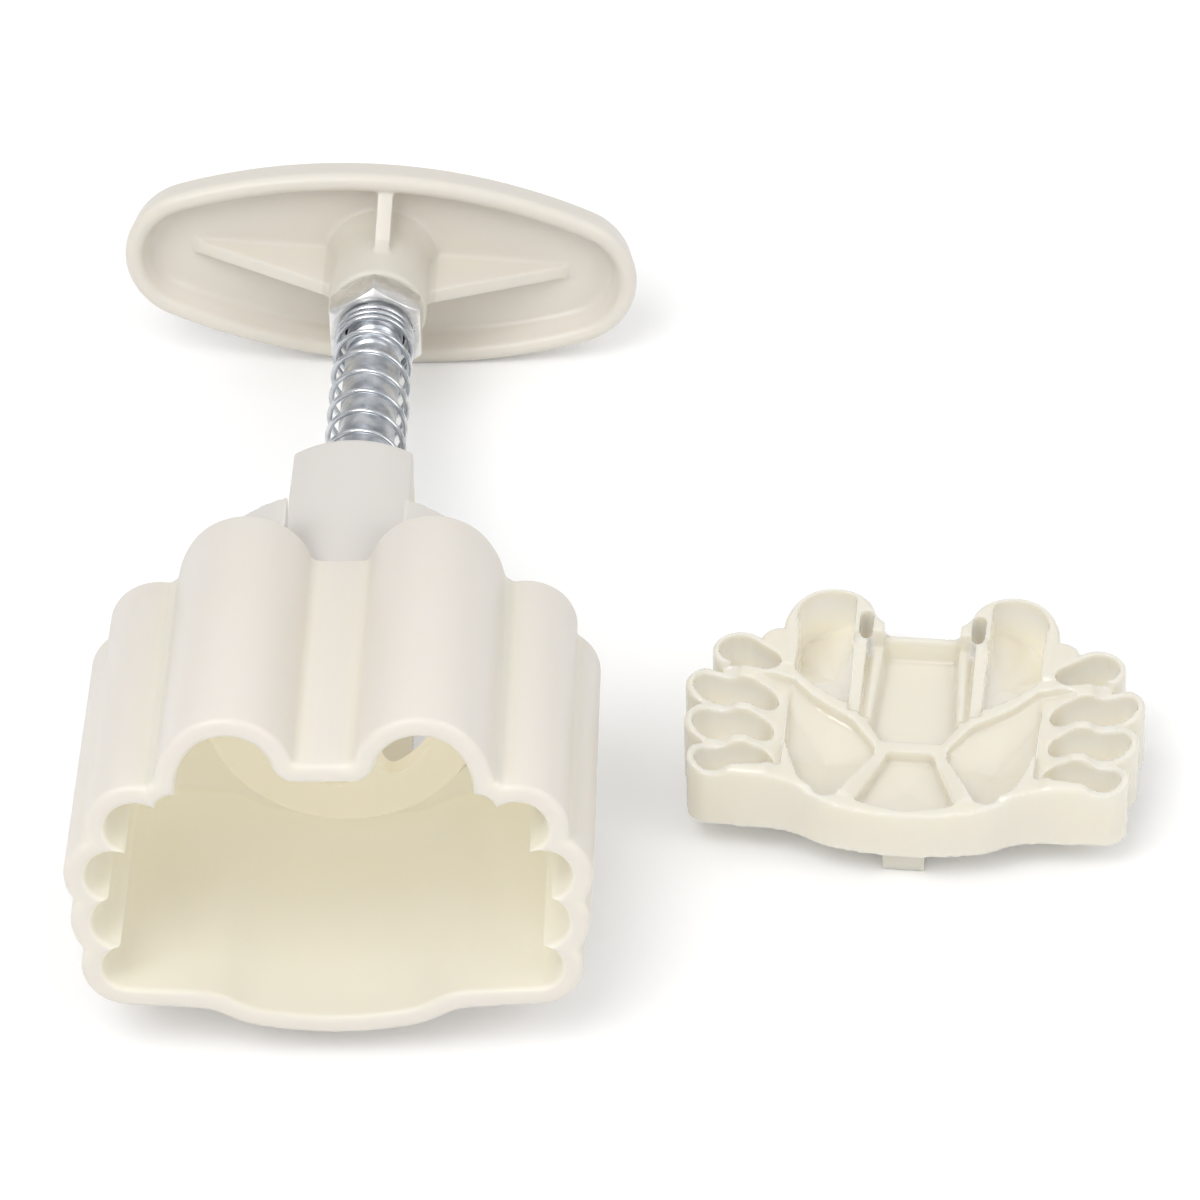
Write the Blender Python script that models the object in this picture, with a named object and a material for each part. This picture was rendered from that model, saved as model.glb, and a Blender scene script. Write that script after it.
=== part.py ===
"""Hand-press mooncake mold with a crab outline, and its crab stamp plate lying beside it.

The mold is modelled along its plunger axis: the mouth at z = 0, the handle at +z, the claws
of the outline towards -y. A parent empty lays it on its side, as it rests on a table.
Metres, +Z up.
"""
import math

import bmesh
import bpy
from mathutils import Vector

# crab outline of the cavity: circle centre x, circle centre v (towards the claws), radius
NOTCH_FLOOR_V = 0.0138
NOTCH_CORNER_R = 0.0031
CLAW = (0.0123, 0.0148, 0.0061)
CLAW_FLANK_R = 0.0108
CLAW_FLANK_TURN = math.radians(35.0)
WRIST = (0.0191, 0.00885, 0.0030)
LEG_1 = (0.02435, 0.00635, 0.0042)
LEG_2 = (0.0274, -0.0011, 0.0041)
LEG_3 = (0.0267, -0.0084, 0.0043)
LEG_4 = (0.0264, -0.0156, 0.0036)
WAVE_R = 0.0095
WAVE_TURN = math.radians(33.0)
SHOULDER_R = 0.0114
SHOULDER_TURN = math.radians(11.6)
BELLY_V = 0.0217
BELLY_R = 0.0454
ARC_STEP = math.radians(16.0)
CIRCLE_STEP = math.radians(7.0)

# barrel
BARREL_DEPTH = 0.048
BARREL_WALL = 0.0026
PLATE_T = 0.0025
PLATE_EDGE_R = 0.0010
MOUTH_EDGE_R = 0.0009
CAVITY_FILLET = 0.0010
SKIRT_R = 0.0232
SKIRT_WALL = 0.0023
SKIRT_RISE = 0.0065
SILL_Z = BARREL_DEPTH + SKIRT_RISE
BRIDGE_RISE = 0.0308
BRIDGE_Z = BARREL_DEPTH + BRIDGE_RISE
BRIDGE_T = 0.0032
BRIDGE_R = 0.0158
BRIDGE_EDGE_R = 0.0012
ARM_WIDTH = 0.0162
SILL_FILLET = 0.0018
OPENING_INSET = 0.0015

# plunger
ROD_R = 0.0040
ROD_PLAY = 0.0003
FOOT_R = 0.0188
FOOT_T = 0.0030
FOOT_REST = 0.0051
FOOT_Z = BARREL_DEPTH - PLATE_T - FOOT_REST - FOOT_T
FOOT_EDGE = 0.0005
FOOT_PLAY = 0.0010
HUB_R = 0.0064
SLOT_MID_R = 0.01005
SLOT_HALF_WIDTH = 0.00305
SLOT_CORNER_R = 0.0012
SLOT_COUNT = 4
SPOKE_WIDTH = 0.0042
SPOKE_TURN = math.radians(14.0)
SCREW_HEAD_R = 0.0044
SCREW_HEAD_H = 0.0024
SCREW_SHANK_R = 0.0024
SCREW_LENGTH = 0.0140
SCREW_SLOT_WIDTH = 0.0011
SCREW_SLOT_LENGTH = 0.0052
SCREW_SLOT_DEPTH = 0.0014
WASHER_R = 0.0050
WASHER_T = 0.0010
WEB_T = 0.0040
GAP = 0.0003

# spring and lock nut
WIRE_R = 0.0004
SPRING_R = 0.0054
SPRING_TURNS = 12.3
SPRING_START = math.radians(180.0)
SPRING_LOW_TURNS = 1.0
SPRING_HIGH_TURNS = 2.6
SPRING_END_PITCH = 0.0013
POINTS_PER_TURN = 10
SPRING_SPACE = 0.0518
NUT_Z = BRIDGE_Z + SPRING_SPACE
NUT_FLATS = 0.0130
NUT_H = 0.0054
NUT_CHAMFER = 0.0006

# handle
BOSS_REACH = 0.0117
HANDLE_RIM_Z = NUT_Z + NUT_H + GAP + BOSS_REACH
HANDLE_HALF_LENGTH = 0.0374
HANDLE_HALF_WIDTH = 0.0158
HANDLE_END_R = 0.0108
HANDLE_DEPTH = 0.0072
HANDLE_WALL = 0.0027
HANDLE_DRAFT = 0.0006
HANDLE_CROWN_T = 0.0030
HANDLE_CROWN_R = 0.0025
HANDLE_TURN = math.radians(4.9)
BOSS_R = 0.0071
BOSS_FLARE = 0.0008
BOSS_BORE_DEPTH = 0.0153
RIB_T = 0.0022
LONG_RIB_REACH = 0.0269
LONG_RIB_SINK = 0.0036
SHORT_RIB_REACH = HANDLE_HALF_WIDTH - HANDLE_WALL + 2.0 * GAP
SHORT_RIB_SINK = 0.0012
RIB_BOSS_DROP = 0.0055

# stamp plate
STAMP_X = 0.0763
STAMP_Y = 0.0550
STAMP_TURN = math.radians(5.2)
STAMP_PLAY = 0.0003
STAMP_H = 0.0100
STAMP_EDGE = 0.0005
CLIP_DROP = 0.00475
CLIP_WIDTH = 0.0057
CLIP_T = 0.0017
CLIP_HOOK = 0.0012
CLIP_TURNS = (-90.0, 30.0, 150.0)
SCREW_POCKET_R = 0.0062
SCREW_POCKET_DEPTH = 0.0010

# stamp relief: x, v and heights above the lower edge of the plate's wall
RIM_INSET = 0.0011
BELLY_FRONT_V = BELLY_V - BELLY_R
SADDLE = ((0.0178, 0.0095), (0.0079, 0.0080), (0.0042, 0.0065))
FRONT_SADDLE = ((0.0178, 0.0098), (0.0152, 0.0087), (0.0090, 0.0078), (0.0042, 0.0074))
FRONT_RIM_DEPTH = 0.0036
DECK = ((0.0116, 0.0092), (0.0048, 0.0080), (-0.0030, 0.0074))
DECK_HALF = 0.0091
INNER_RIB_H = 0.0070
PANEL_H = 0.0046
PANEL_HALF_TOP = 0.0052
PANEL_HALF_BOTTOM = 0.0060
PANEL_TOP_V = 0.0124
PANEL_BOTTOM_V = -0.0074
PANEL_DRAFT = 0.0006
NOTCH_RIM_H = 0.0076
NOTCH_RIM_HALF = PANEL_HALF_TOP
RIB_GROOVE_X = 0.0070
RIB_GROOVE_WIDTH = 0.0010
RIB_GROOVE_H = 0.0054
RIB_GROOVE_V = (-0.0036, 0.0114)
EYE_X = 0.0077
EYE_R = 0.0009
EYE_V = (0.0121, 0.0150)
EYE_H = 0.0032
CLAW_ARC = (math.radians(-20.0), math.radians(126.0))
CLAW_DEEP_H = (0.0016, 0.0044)
CLAW_CORNERS = (
    (0.0093, 0.0120, 0.0060),
    (0.0091, 0.0045, 0.0060),
    (0.0091, -0.0016, 0.0066),
    (0.0112, -0.0007, 0.0068),
    (0.0139, 0.0011, 0.0066),
    (0.0168, 0.0036, 0.0060),
    (0.0166, 0.0080, 0.0040),
)
CLAW_MIDDLE = (0.0112, 0.0062, 0.0050)
BOWL_BACK = (
    (0.0171, -0.0022, 0.0066),
    (0.0172, 0.0021, 0.0082),
    (0.0139, -0.0013, 0.0074),
    (0.0112, -0.0031, 0.0070),
    (0.0081, -0.0048, 0.0064),
    (0.0050, -0.0084, 0.0054),
)
BOWL_FRONT = (
    (0.0049, 0.0134, 0.0052),
    (0.0093, 0.0035, 0.0058),
    (0.0117, 0.0030, 0.0062),
    (0.0146, 0.0058, 0.0066),
    (0.0168, 0.0122, 0.0062),
)
BOWL_MIDDLE = (0.0112, 0.0132, 0.0038)
FRONT_FACET = ((0.0030, 0.0143, 0.0046), (0.0067, 0.0030, 0.0052))
FRONT_FACET_MIDDLE = (0.0086, 0.0042)
TROUGH_TIPS = (
    (0.0245, 0.0063, 0.0028),
    (0.0274, -0.0011, 0.0027),
    (0.0267, -0.0084, 0.00285),
    (0.0264, -0.0155, 0.0022),
)
TROUGH_ROOTS = (
    (0.0206, 0.0044, 0.0019),
    (0.0208, -0.0026, 0.0024),
    (0.0209, -0.0090, 0.0024),
    (0.0203, -0.0150, 0.0022),
)
TROUGH_STEPS = ((0.0, 0.0110), (0.0, 0.0070), (0.0004, 0.0048), (0.0011, 0.0034))
RIDGE_DIP = (
    (0.0302, 0.0101),
    (0.0287, 0.0095),
    (0.0272, 0.0089),
    (0.0260, 0.0087),
    (0.0249, 0.0090),
    (0.0238, 0.0098),
    (0.0228, 0.0101),
)
RIDGE_DIP_BACK_V = 0.0034
RIDGE_FALL = ((0.0222, 0.0101), (0.0208, 0.0093), (0.0192, 0.0085), (0.0170, 0.0079))
RIDGE_FALL_V = (-0.0165, 0.0016)

PLASTIC = {"colour": (0.80, 0.76, 0.69), "metallic": 0.0, "roughness": 0.35}
HANDLE_PLASTIC = {"colour": (0.77, 0.72, 0.64), "metallic": 0.0, "roughness": 0.38}
FOOT_PLASTIC = {"colour": (0.78, 0.72, 0.53), "metallic": 0.0, "roughness": 0.40}
STAMP_PLASTIC = {"colour": (0.86, 0.83, 0.74), "metallic": 0.0, "roughness": 0.22}
ZINC = {"colour": (0.56, 0.58, 0.60), "metallic": 1.0, "roughness": 0.28}
STEEL = {"colour": (0.62, 0.63, 0.64), "metallic": 1.0, "roughness": 0.22}


def clear_scene():
    for obj in list(bpy.data.objects):
        bpy.data.objects.remove(obj, do_unlink=True)


def material(name, look):
    mat = bpy.data.materials.new(name)
    mat.use_nodes = True
    shader = mat.node_tree.nodes["Principled BSDF"]
    shader.inputs["Base Color"].default_value = (*look["colour"], 1.0)
    shader.inputs["Metallic"].default_value = look["metallic"]
    shader.inputs["Roughness"].default_value = look["roughness"]
    return mat


def make_object(name, bm):
    """Turn a closed bmesh into an object with outward faces."""
    bmesh.ops.recalc_face_normals(bm, faces=bm.faces)
    mesh = bpy.data.meshes.new(name)
    bm.to_mesh(mesh)
    bm.free()
    obj = bpy.data.objects.new(name, mesh)
    bpy.context.collection.objects.link(obj)
    return obj


def loft(name, rings):
    """Closed solid through rings of equal point counts, capped at both ends."""
    bm = bmesh.new()
    rows = [[bm.verts.new(point) for point in ring] for ring in rings]
    count = len(rows[0])
    for low, high in zip(rows, rows[1:]):
        for i in range(count):
            j = (i + 1) % count
            bm.faces.new((low[i], low[j], high[j], high[i]))
    bm.faces.new(rows[0])
    bm.faces.new(rows[-1])
    return make_object(name, bm)


def turned(name, profile, steps):
    """Solid of revolution about Z; the profile runs from the axis back to the axis."""
    bm = bmesh.new()
    points = [Vector((r, 0.0, z)) for r, z in profile]
    verts = [bm.verts.new(p) for p in points]
    edges = [bm.edges.new(pair) for pair in zip(verts, verts[1:])]
    bmesh.ops.spin(
        bm,
        geom=verts + edges,
        cent=(0.0, 0.0, 0.0),
        axis=(0.0, 0.0, 1.0),
        angle=2.0 * math.pi,
        steps=steps,
        use_merge=True,
    )
    bmesh.ops.remove_doubles(bm, verts=bm.verts, dist=1e-6)
    return make_object(name, bm)


def turned_ring(name, profile, steps):
    """Ring of revolution about Z from a closed profile that stays off the axis."""
    bm = bmesh.new()
    rows = []
    for k in range(steps):
        turn = 2.0 * math.pi * k / steps
        rows.append([bm.verts.new((r * math.cos(turn), r * math.sin(turn), z)) for r, z in profile])
    count = len(profile)
    for k in range(steps):
        here = rows[k]
        there = rows[(k + 1) % steps]
        for i in range(count):
            j = (i + 1) % count
            bm.faces.new((here[i], there[i], there[j], here[j]))
    return make_object(name, bm)


def box(name, low, high):
    xs = (low[0], high[0])
    ys = (low[1], high[1])
    rings = []
    for z in (low[2], high[2]):
        rings.append([(xs[0], ys[0], z), (xs[1], ys[0], z), (xs[1], ys[1], z), (xs[0], ys[1], z)])
    return loft(name, rings)


def combine(obj, tool, operation):
    """Apply one exact Boolean and drop the tool."""
    mod = obj.modifiers.new("shape", "BOOLEAN")
    mod.operation = operation
    mod.solver = "EXACT"
    mod.object = tool
    depsgraph = bpy.context.evaluated_depsgraph_get()
    depsgraph.update()
    mesh = bpy.data.meshes.new_from_object(obj.evaluated_get(depsgraph))
    obj.modifiers.clear()
    obj.data = mesh
    bpy.data.objects.remove(tool, do_unlink=True)


def cut(obj, tool):
    combine(obj, tool, "DIFFERENCE")


def join(obj, tool):
    combine(obj, tool, "UNION")


def finish(obj, look, parent, location=(0.0, 0.0, 0.0), turn=0.0, sharp=30.0):
    """Clean the mesh, shade it, give it its material and its place."""
    bm = bmesh.new()
    bm.from_mesh(obj.data)
    bmesh.ops.remove_doubles(bm, verts=bm.verts, dist=2e-6)
    bmesh.ops.dissolve_degenerate(bm, edges=bm.edges, dist=2e-6)
    bmesh.ops.dissolve_limit(
        bm, angle_limit=math.radians(0.4), verts=bm.verts, edges=bm.edges, delimit={"NORMAL"}
    )
    bmesh.ops.triangulate(bm, faces=[f for f in bm.faces if len(f.verts) > 4])
    bm.to_mesh(obj.data)
    bm.free()
    obj.data.shade_smooth()
    obj.data.set_sharp_from_angle(angle=math.radians(sharp))
    obj.data.materials.clear()
    obj.data.materials.append(material(obj.name + "_material", look))
    obj.parent = parent
    obj.location = location
    obj.rotation_euler = (0.0, 0.0, turn)
    return obj


def outline_arcs():
    """Circles that the right half of the outline follows, from the notch to the belly.

    Each entry is (side, centre x, centre v, radius, join to the next). Side is +1 where the
    outline bulges out and -1 where it hollows in.
    """
    corner_v = NOTCH_FLOOR_V + NOTCH_CORNER_R
    reach = NOTCH_CORNER_R + CLAW[2]
    corner_x = CLAW[0] - math.sqrt(reach**2 - (CLAW[1] - corner_v) ** 2)
    back = CLAW_FLANK_R - CLAW[2]
    flank_x = CLAW[0] - back * math.cos(CLAW_FLANK_TURN)
    flank_v = CLAW[1] - back * math.sin(CLAW_FLANK_TURN)
    inner = BELLY_R - SHOULDER_R
    shoulder_x = inner * math.sin(SHOULDER_TURN)
    shoulder_v = BELLY_V - inner * math.cos(SHOULDER_TURN)
    out = SHOULDER_R + WAVE_R
    wave_x = shoulder_x + out * math.sin(WAVE_TURN)
    wave_v = shoulder_v - out * math.cos(WAVE_TURN)
    return [
        (-1, corner_x, corner_v, NOTCH_CORNER_R, "tangent"),
        (1, *CLAW, "tangent"),
        (1, flank_x, flank_v, CLAW_FLANK_R, "cusp"),
        (1, *WRIST, "cusp"),
        (1, *LEG_1, "cusp"),
        (1, *LEG_2, "cusp"),
        (1, *LEG_3, "cusp"),
        (1, *LEG_4, "line"),
        (-1, wave_x, wave_v, WAVE_R, "tangent"),
        (1, shoulder_x, shoulder_v, SHOULDER_R, "tangent"),
        (1, 0.0, BELLY_V, BELLY_R, "end"),
    ]


def join_angles(first, second, grow):
    """Angles of the outward normal on both circles where they meet."""
    side, x1, v1, r1, how = first
    dx = second[1] - x1
    dv = second[2] - v1
    span = math.hypot(dx, dv)
    if how == "cusp":
        near = r1 + side * grow
        far = second[3] + second[0] * grow
        along = (span**2 + near**2 - far**2) / (2.0 * span)
        across = math.sqrt(max(0.0, near**2 - along**2))
        x = x1 + (along * dx - across * dv) / span
        v = v1 + (along * dv + across * dx) / span
        return math.atan2(v - v1, x - x1), math.atan2(v - second[2], x - second[1])
    ratio = (side * r1 - second[0] * second[3]) / span
    angle = math.atan2(dv, dx) + math.acos(max(-1.0, min(1.0, ratio)))
    return angle, angle


def arc_sweep(side, start, end):
    """Sweep of the normal: clockwise round a bulge, the other way round a hollow."""
    sweep = (end - start) % (2.0 * math.pi)
    if side > 0:
        return sweep - 2.0 * math.pi
    return sweep


def crab_outline(grow):
    """Points (x, y) of the crab outline moved outwards by grow, always the same count."""
    arcs = outline_arcs()
    half = []
    start = math.pi / 2.0
    plain_start = start
    for index, (side, x, v, r, how) in enumerate(arcs):
        if how == "end":
            end = -math.pi / 2.0
            following = end
            plain_end = end
            plain_following = end
        else:
            end, following = join_angles(arcs[index], arcs[index + 1], grow)
            plain_end, plain_following = join_angles(arcs[index], arcs[index + 1], 0.0)
        sweep = arc_sweep(side, start, end)
        count = max(2, round(abs(arc_sweep(side, plain_start, plain_end)) / ARC_STEP))
        last = count + 1 if how in ("line", "end") else count
        radius = r + side * grow
        for k in range(last):
            angle = start + sweep * k / count
            half.append((x + side * radius * math.cos(angle), v + side * radius * math.sin(angle)))
        start = following
        plain_start = plain_following
    mirrored = [(-x, v) for x, v in reversed(half[:-1])]
    return half + mirrored


def crab_ring(grow, z, flip=-1.0):
    """The outline as a ring at height z; the claws point to -y in the mold."""
    return [(x, flip * v, z) for x, v in crab_outline(grow)]


def notched_circle(inset, radius, z, scale=1.0):
    """Circle about the axis that keeps inset clear of the notch between the claws."""
    half = []
    for x, v in crab_outline(-inset):
        if math.hypot(x, v) >= radius:
            break
        half.append((x, v))
    start = math.atan2(half[-1][1], half[-1][0])
    count = round((start + math.pi / 2.0) / CIRCLE_STEP)
    for k in range(1, count + 1):
        angle = start - (start + math.pi / 2.0) * k / count
        half.append((radius * math.cos(angle), radius * math.sin(angle)))
    ring = half + [(-x, v) for x, v in reversed(half[:-1])]
    return [(x * scale, -v * scale, z) for x, v in ring]


def tapered_capsule(big, small, inset, z, steps=7):
    """Ring round two circles and their common tangents; circles are (x, y, radius)."""
    dx = small[0] - big[0]
    dy = small[1] - big[1]
    span = math.hypot(dx, dy)
    heading = math.atan2(dy, dx)
    lean = math.acos((big[2] - small[2]) / span)
    ring = []
    for k in range(steps + 1):
        angle = heading + lean + (2.0 * math.pi - 2.0 * lean) * k / steps
        radius = big[2] - inset
        ring.append((big[0] + radius * math.cos(angle), big[1] + radius * math.sin(angle), z))
    for k in range(steps + 1):
        angle = heading - lean + 2.0 * lean * k / steps
        radius = small[2] - inset
        ring.append((small[0] + radius * math.cos(angle), small[1] + radius * math.sin(angle), z))
    return ring


def make_barrel(parent):
    """Cup with the crab outline, a raised skirt on its plate, two arms and the bridge."""
    rings = []
    for k in range(3):
        angle = math.pi / 2.0 * (1.0 - k / 2.0)
        grow = BARREL_WALL - PLATE_EDGE_R * (1.0 - math.cos(angle))
        rings.append(crab_ring(grow, BARREL_DEPTH - PLATE_EDGE_R * (1.0 - math.sin(angle))))
    for k in range(3):
        angle = math.pi / 2.0 * k / 2.0
        grow = BARREL_WALL - MOUTH_EDGE_R * (1.0 - math.cos(angle))
        rings.append(crab_ring(grow, MOUTH_EDGE_R * (1.0 - math.sin(angle))))
    for k in range(3):
        angle = math.pi / 2.0 * k / 2.0
        grow = MOUTH_EDGE_R * (1.0 - math.sin(angle))
        rings.append(crab_ring(grow, MOUTH_EDGE_R * (1.0 - math.cos(angle))))
    ceiling = BARREL_DEPTH - PLATE_T
    rings.append(crab_ring(0.0, ceiling - CAVITY_FILLET))
    rings.append(crab_ring(-CAVITY_FILLET, ceiling))
    barrel = loft("barrel", rings)
    join(barrel, skirt_solid(ceiling))
    cut(barrel, plate_opening(ceiling))
    for side in (-1.0, 1.0):
        cut(barrel, window_cutter(side))
    bore_r = ROD_R + ROD_PLAY
    under_bridge = BRIDGE_Z - BRIDGE_T
    bore = turned(
        "bore",
        [
            (0.0, under_bridge - BRIDGE_T),
            (bore_r, under_bridge - BRIDGE_T),
            (bore_r, BRIDGE_Z + BRIDGE_T),
            (0.0, BRIDGE_Z + BRIDGE_T),
        ],
        32,
    )
    cut(barrel, bore)
    return finish(barrel, PLASTIC, parent)


def skirt_solid(low):
    """Round skirt, leaning back arm and bridge in one, with the front arm set in its recess."""
    edge = BRIDGE_EDGE_R
    lean = (SKIRT_R - BRIDGE_R) / (BRIDGE_Z - SILL_Z + GAP)
    bend_z = SILL_Z - GAP
    profile = [(0.0, low), (SKIRT_R, low), (SKIRT_R, bend_z)]
    for k in range(3):
        angle = math.pi / 4.0 * k
        slope = lean * edge * (1.0 - k / 2.0)
        radius = BRIDGE_R + slope - edge * (1.0 - math.cos(angle))
        profile.append((radius, BRIDGE_Z - edge * (1.0 - math.sin(angle))))
    profile.append((0.0, BRIDGE_Z))
    skirt = turned("skirt", profile, 56)
    under_bridge = BRIDGE_Z - BRIDGE_T
    wall_r = SKIRT_R - SKIRT_WALL
    top_r = BRIDGE_R + lean * BRIDGE_T - SKIRT_WALL
    room_profile = [(0.0, BARREL_DEPTH), (wall_r, BARREL_DEPTH), (wall_r, bend_z)]
    room_profile += [(top_r, under_bridge), (0.0, under_bridge)]
    cut(skirt, turned("room", room_profile, 56))

    half = ARM_WIDTH / 2.0
    room_half = half + GAP
    recess_low = (-room_half, -SKIRT_R - edge, low - edge)
    recess = box("recess", recess_low, (room_half, 0.0, BRIDGE_Z + edge))
    core_r = BRIDGE_R - SKIRT_WALL / 2.0
    column = [(0.0, low - 2.0 * edge), (core_r, low - 2.0 * edge)]
    column += [(core_r, BRIDGE_Z + 2.0 * edge), (0.0, BRIDGE_Z + 2.0 * edge)]
    cut(recess, turned("column", column, 56))
    cut(skirt, recess)
    join(skirt, front_arm(half + SKIRT_WALL / 2.0, low - GAP))
    for side in (-1.0, 1.0):
        near = side * half
        far = side * (half + SKIRT_WALL)
        front_v = math.sqrt(SKIRT_R**2 - far**2) - SKIRT_WALL / 2.0
        back_v = math.sqrt((BRIDGE_R - SKIRT_WALL / 2.0) ** 2 - far**2)
        cheek_low = (min(near, far), -front_v, low - 2.0 * GAP)
        join(skirt, box("cheek", cheek_low, (max(near, far), -back_v, SILL_Z + GAP)))
    return skirt


def front_arm(half, low):
    """Upright part of a round shell up to the bridge, flush with the crab's notch."""
    inner_r = BRIDGE_R - SKIRT_WALL
    edge = BRIDGE_EDGE_R
    levels = [(low, 0.0)]
    for k in range(3):
        angle = math.pi / 4.0 * k
        levels.append((BRIDGE_Z - edge * (1.0 - math.sin(angle)), edge * (1.0 - math.cos(angle))))
    rings = []
    for z, inset in levels:
        ring = []
        for radius, turn in ((BRIDGE_R - inset, 1.0), (inner_r, -1.0)):
            reach = math.asin(half / radius)
            for k in range(9):
                angle = turn * reach * (k / 4.0 - 1.0)
                ring.append((radius * math.sin(angle), -radius * math.cos(angle), z))
        rings.append(ring)
    return loft("front_arm", rings)


def plate_opening(ceiling):
    """Opening in the top plate that keeps to the inside of the skirt and its recess."""
    low = ceiling - 2.0 * CAVITY_FILLET
    high = BARREL_DEPTH + GAP
    wall_r = SKIRT_R - SKIRT_WALL
    opening = loft("opening", [notched_circle(OPENING_INSET, wall_r, z) for z in (low, high)])
    half = ARM_WIDTH / 2.0 + SKIRT_WALL + GAP
    arm_r = BRIDGE_R - SKIRT_WALL
    back_v = math.sqrt(arm_r**2 - half**2)
    cut(opening, box("shelf", (-half, -SKIRT_R, low - GAP), (half, -back_v, high + GAP)))
    core_r = arm_r - GAP
    core = [(0.0, low), (core_r, low), (core_r, high), (0.0, high)]
    join(opening, turned("core", core, 56))
    return opening


def window_cutter(side):
    """Everything beside the arms above the sill, with a fillet in its lower corner."""
    inner = ARM_WIDTH / 2.0
    outer = SKIRT_R + BARREL_WALL
    top = BRIDGE_Z + BRIDGE_T
    profile = [(outer, top), (inner, top)]
    for k in range(5):
        angle = math.pi + math.pi / 2.0 * k / 4.0
        x = inner + SILL_FILLET * (1.0 + math.cos(angle))
        profile.append((x, SILL_Z + SILL_FILLET * (1.0 + math.sin(angle))))
    profile.append((outer, SILL_Z))
    rings = []
    for y in (-outer, outer):
        rings.append([(side * x, y, z) for x, z in profile])
    return loft("window", rings)


def make_foot(parent):
    """Round plate with kidney openings and a sleeve that stops under the bridge."""
    rings = [
        notched_circle(FOOT_PLAY, FOOT_R, 0.0, 1.0 - FOOT_EDGE / FOOT_R),
        notched_circle(FOOT_PLAY, FOOT_R, FOOT_EDGE),
        notched_circle(FOOT_PLAY, FOOT_R, FOOT_T),
    ]
    foot = loft("foot", rings)
    sleeve_top = BRIDGE_Z - BRIDGE_T - GAP - FOOT_Z
    sleeve = turned(
        "sleeve",
        [(0.0, FOOT_T / 2.0), (HUB_R, FOOT_T / 2.0), (HUB_R, sleeve_top), (0.0, sleeve_top)],
        40,
    )
    join(foot, sleeve)
    for k in range(SLOT_COUNT):
        middle = 2.0 * math.pi * (k + 0.5) / SLOT_COUNT - math.pi / 2.0 + SPOKE_TURN
        cut(foot, kidney_cutter(middle))
    seat = pocket_depth()
    pocket_r = WASHER_R + GAP
    pocket = turned("pocket", [(0.0, -GAP), (pocket_r, -GAP), (pocket_r, seat), (0.0, seat)], 32)
    cut(foot, pocket)
    screw_r = SCREW_SHANK_R + GAP
    rod_seat = seat + WEB_T
    rod_r = ROD_R + GAP
    hole = turned(
        "hole",
        [
            (0.0, seat - GAP),
            (screw_r, seat - GAP),
            (screw_r, rod_seat),
            (rod_r, rod_seat),
            (rod_r, sleeve_top + GAP),
            (0.0, sleeve_top + GAP),
        ],
        32,
    )
    cut(foot, hole)
    return finish(foot, FOOT_PLASTIC, parent, (0.0, 0.0, FOOT_Z))


def pocket_depth():
    """Depth of the round pocket that sinks the screw head and the washer."""
    return SCREW_HEAD_H + WASHER_T + 3.0 * GAP


def kidney_cutter(middle):
    """Curved slot with rounded corners about the axis; middle is measured in the x, v plane."""
    half = math.pi / SLOT_COUNT - math.asin(SPOKE_WIDTH / 2.0 / SLOT_MID_R)
    outer = SLOT_MID_R + SLOT_HALF_WIDTH
    inner = SLOT_MID_R - SLOT_HALF_WIDTH
    corner = SLOT_CORNER_R
    quarter = math.pi / 2.0
    out_reach = half - math.asin(corner / (outer - corner))
    in_reach = half - math.asin(corner / (inner + corner))
    ring = []
    for radius, angle, start, end in (
        (outer - corner, middle - out_reach, middle - half - quarter, middle - out_reach),
        (outer - corner, middle + out_reach, middle + out_reach, middle + half + quarter),
        (inner + corner, middle + in_reach, middle + half + quarter, middle + in_reach + math.pi),
        (inner + corner, middle - in_reach, middle - in_reach - math.pi, middle - half - quarter),
    ):
        cx = radius * math.cos(angle)
        cv = radius * math.sin(angle)
        for k in range(4):
            turn = start + (end - start) * k / 3.0
            ring.append((cx + corner * math.cos(turn), cv + corner * math.sin(turn)))
        if len(ring) == 4:
            reach = out_reach
            ring += [arc_point(outer, middle + reach * (k / 2.0 - 1.0)) for k in range(1, 4)]
        if len(ring) == 15:
            ring += [arc_point(inner, middle - in_reach * (k / 2.0 - 1.0)) for k in range(1, 4)]
    return loft("kidney", [[(x, -v, z) for x, v in ring] for z in (-FOOT_T, 2.0 * FOOT_T)])


def arc_point(radius, angle):
    return radius * math.cos(angle), radius * math.sin(angle)


def make_foot_washer(parent):
    z = FOOT_Z + SCREW_HEAD_H + 2.0 * GAP
    bore = SCREW_SHANK_R + GAP
    profile = [(bore, 0.0), (WASHER_R, 0.0), (WASHER_R, WASHER_T), (bore, WASHER_T)]
    washer = turned_ring("foot_washer", profile, 32)
    return finish(washer, ZINC, parent, (0.0, 0.0, z))


def make_foot_screw(parent):
    """Pan-head screw from the face of the foot up into the end of the rod."""
    head = SCREW_HEAD_H
    screw = turned(
        "foot_screw",
        [
            (0.0, 0.0),
            (0.6 * SCREW_HEAD_R, 0.0),
            (0.9 * SCREW_HEAD_R, 0.3 * head),
            (SCREW_HEAD_R, head),
            (SCREW_SHANK_R, head),
            (SCREW_SHANK_R, head + SCREW_LENGTH - GAP),
            (SCREW_SHANK_R - GAP, head + SCREW_LENGTH),
            (0.0, head + SCREW_LENGTH),
        ],
        28,
    )
    half_long = SCREW_SLOT_LENGTH / 2.0
    half_wide = SCREW_SLOT_WIDTH / 2.0
    for across, along in ((half_long, half_wide), (half_wide, half_long)):
        slot = box("slot", (-across, -along, -GAP), (across, along, SCREW_SLOT_DEPTH))
        cut(screw, slot)
    return finish(screw, ZINC, parent, (0.0, 0.0, FOOT_Z + GAP))


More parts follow.
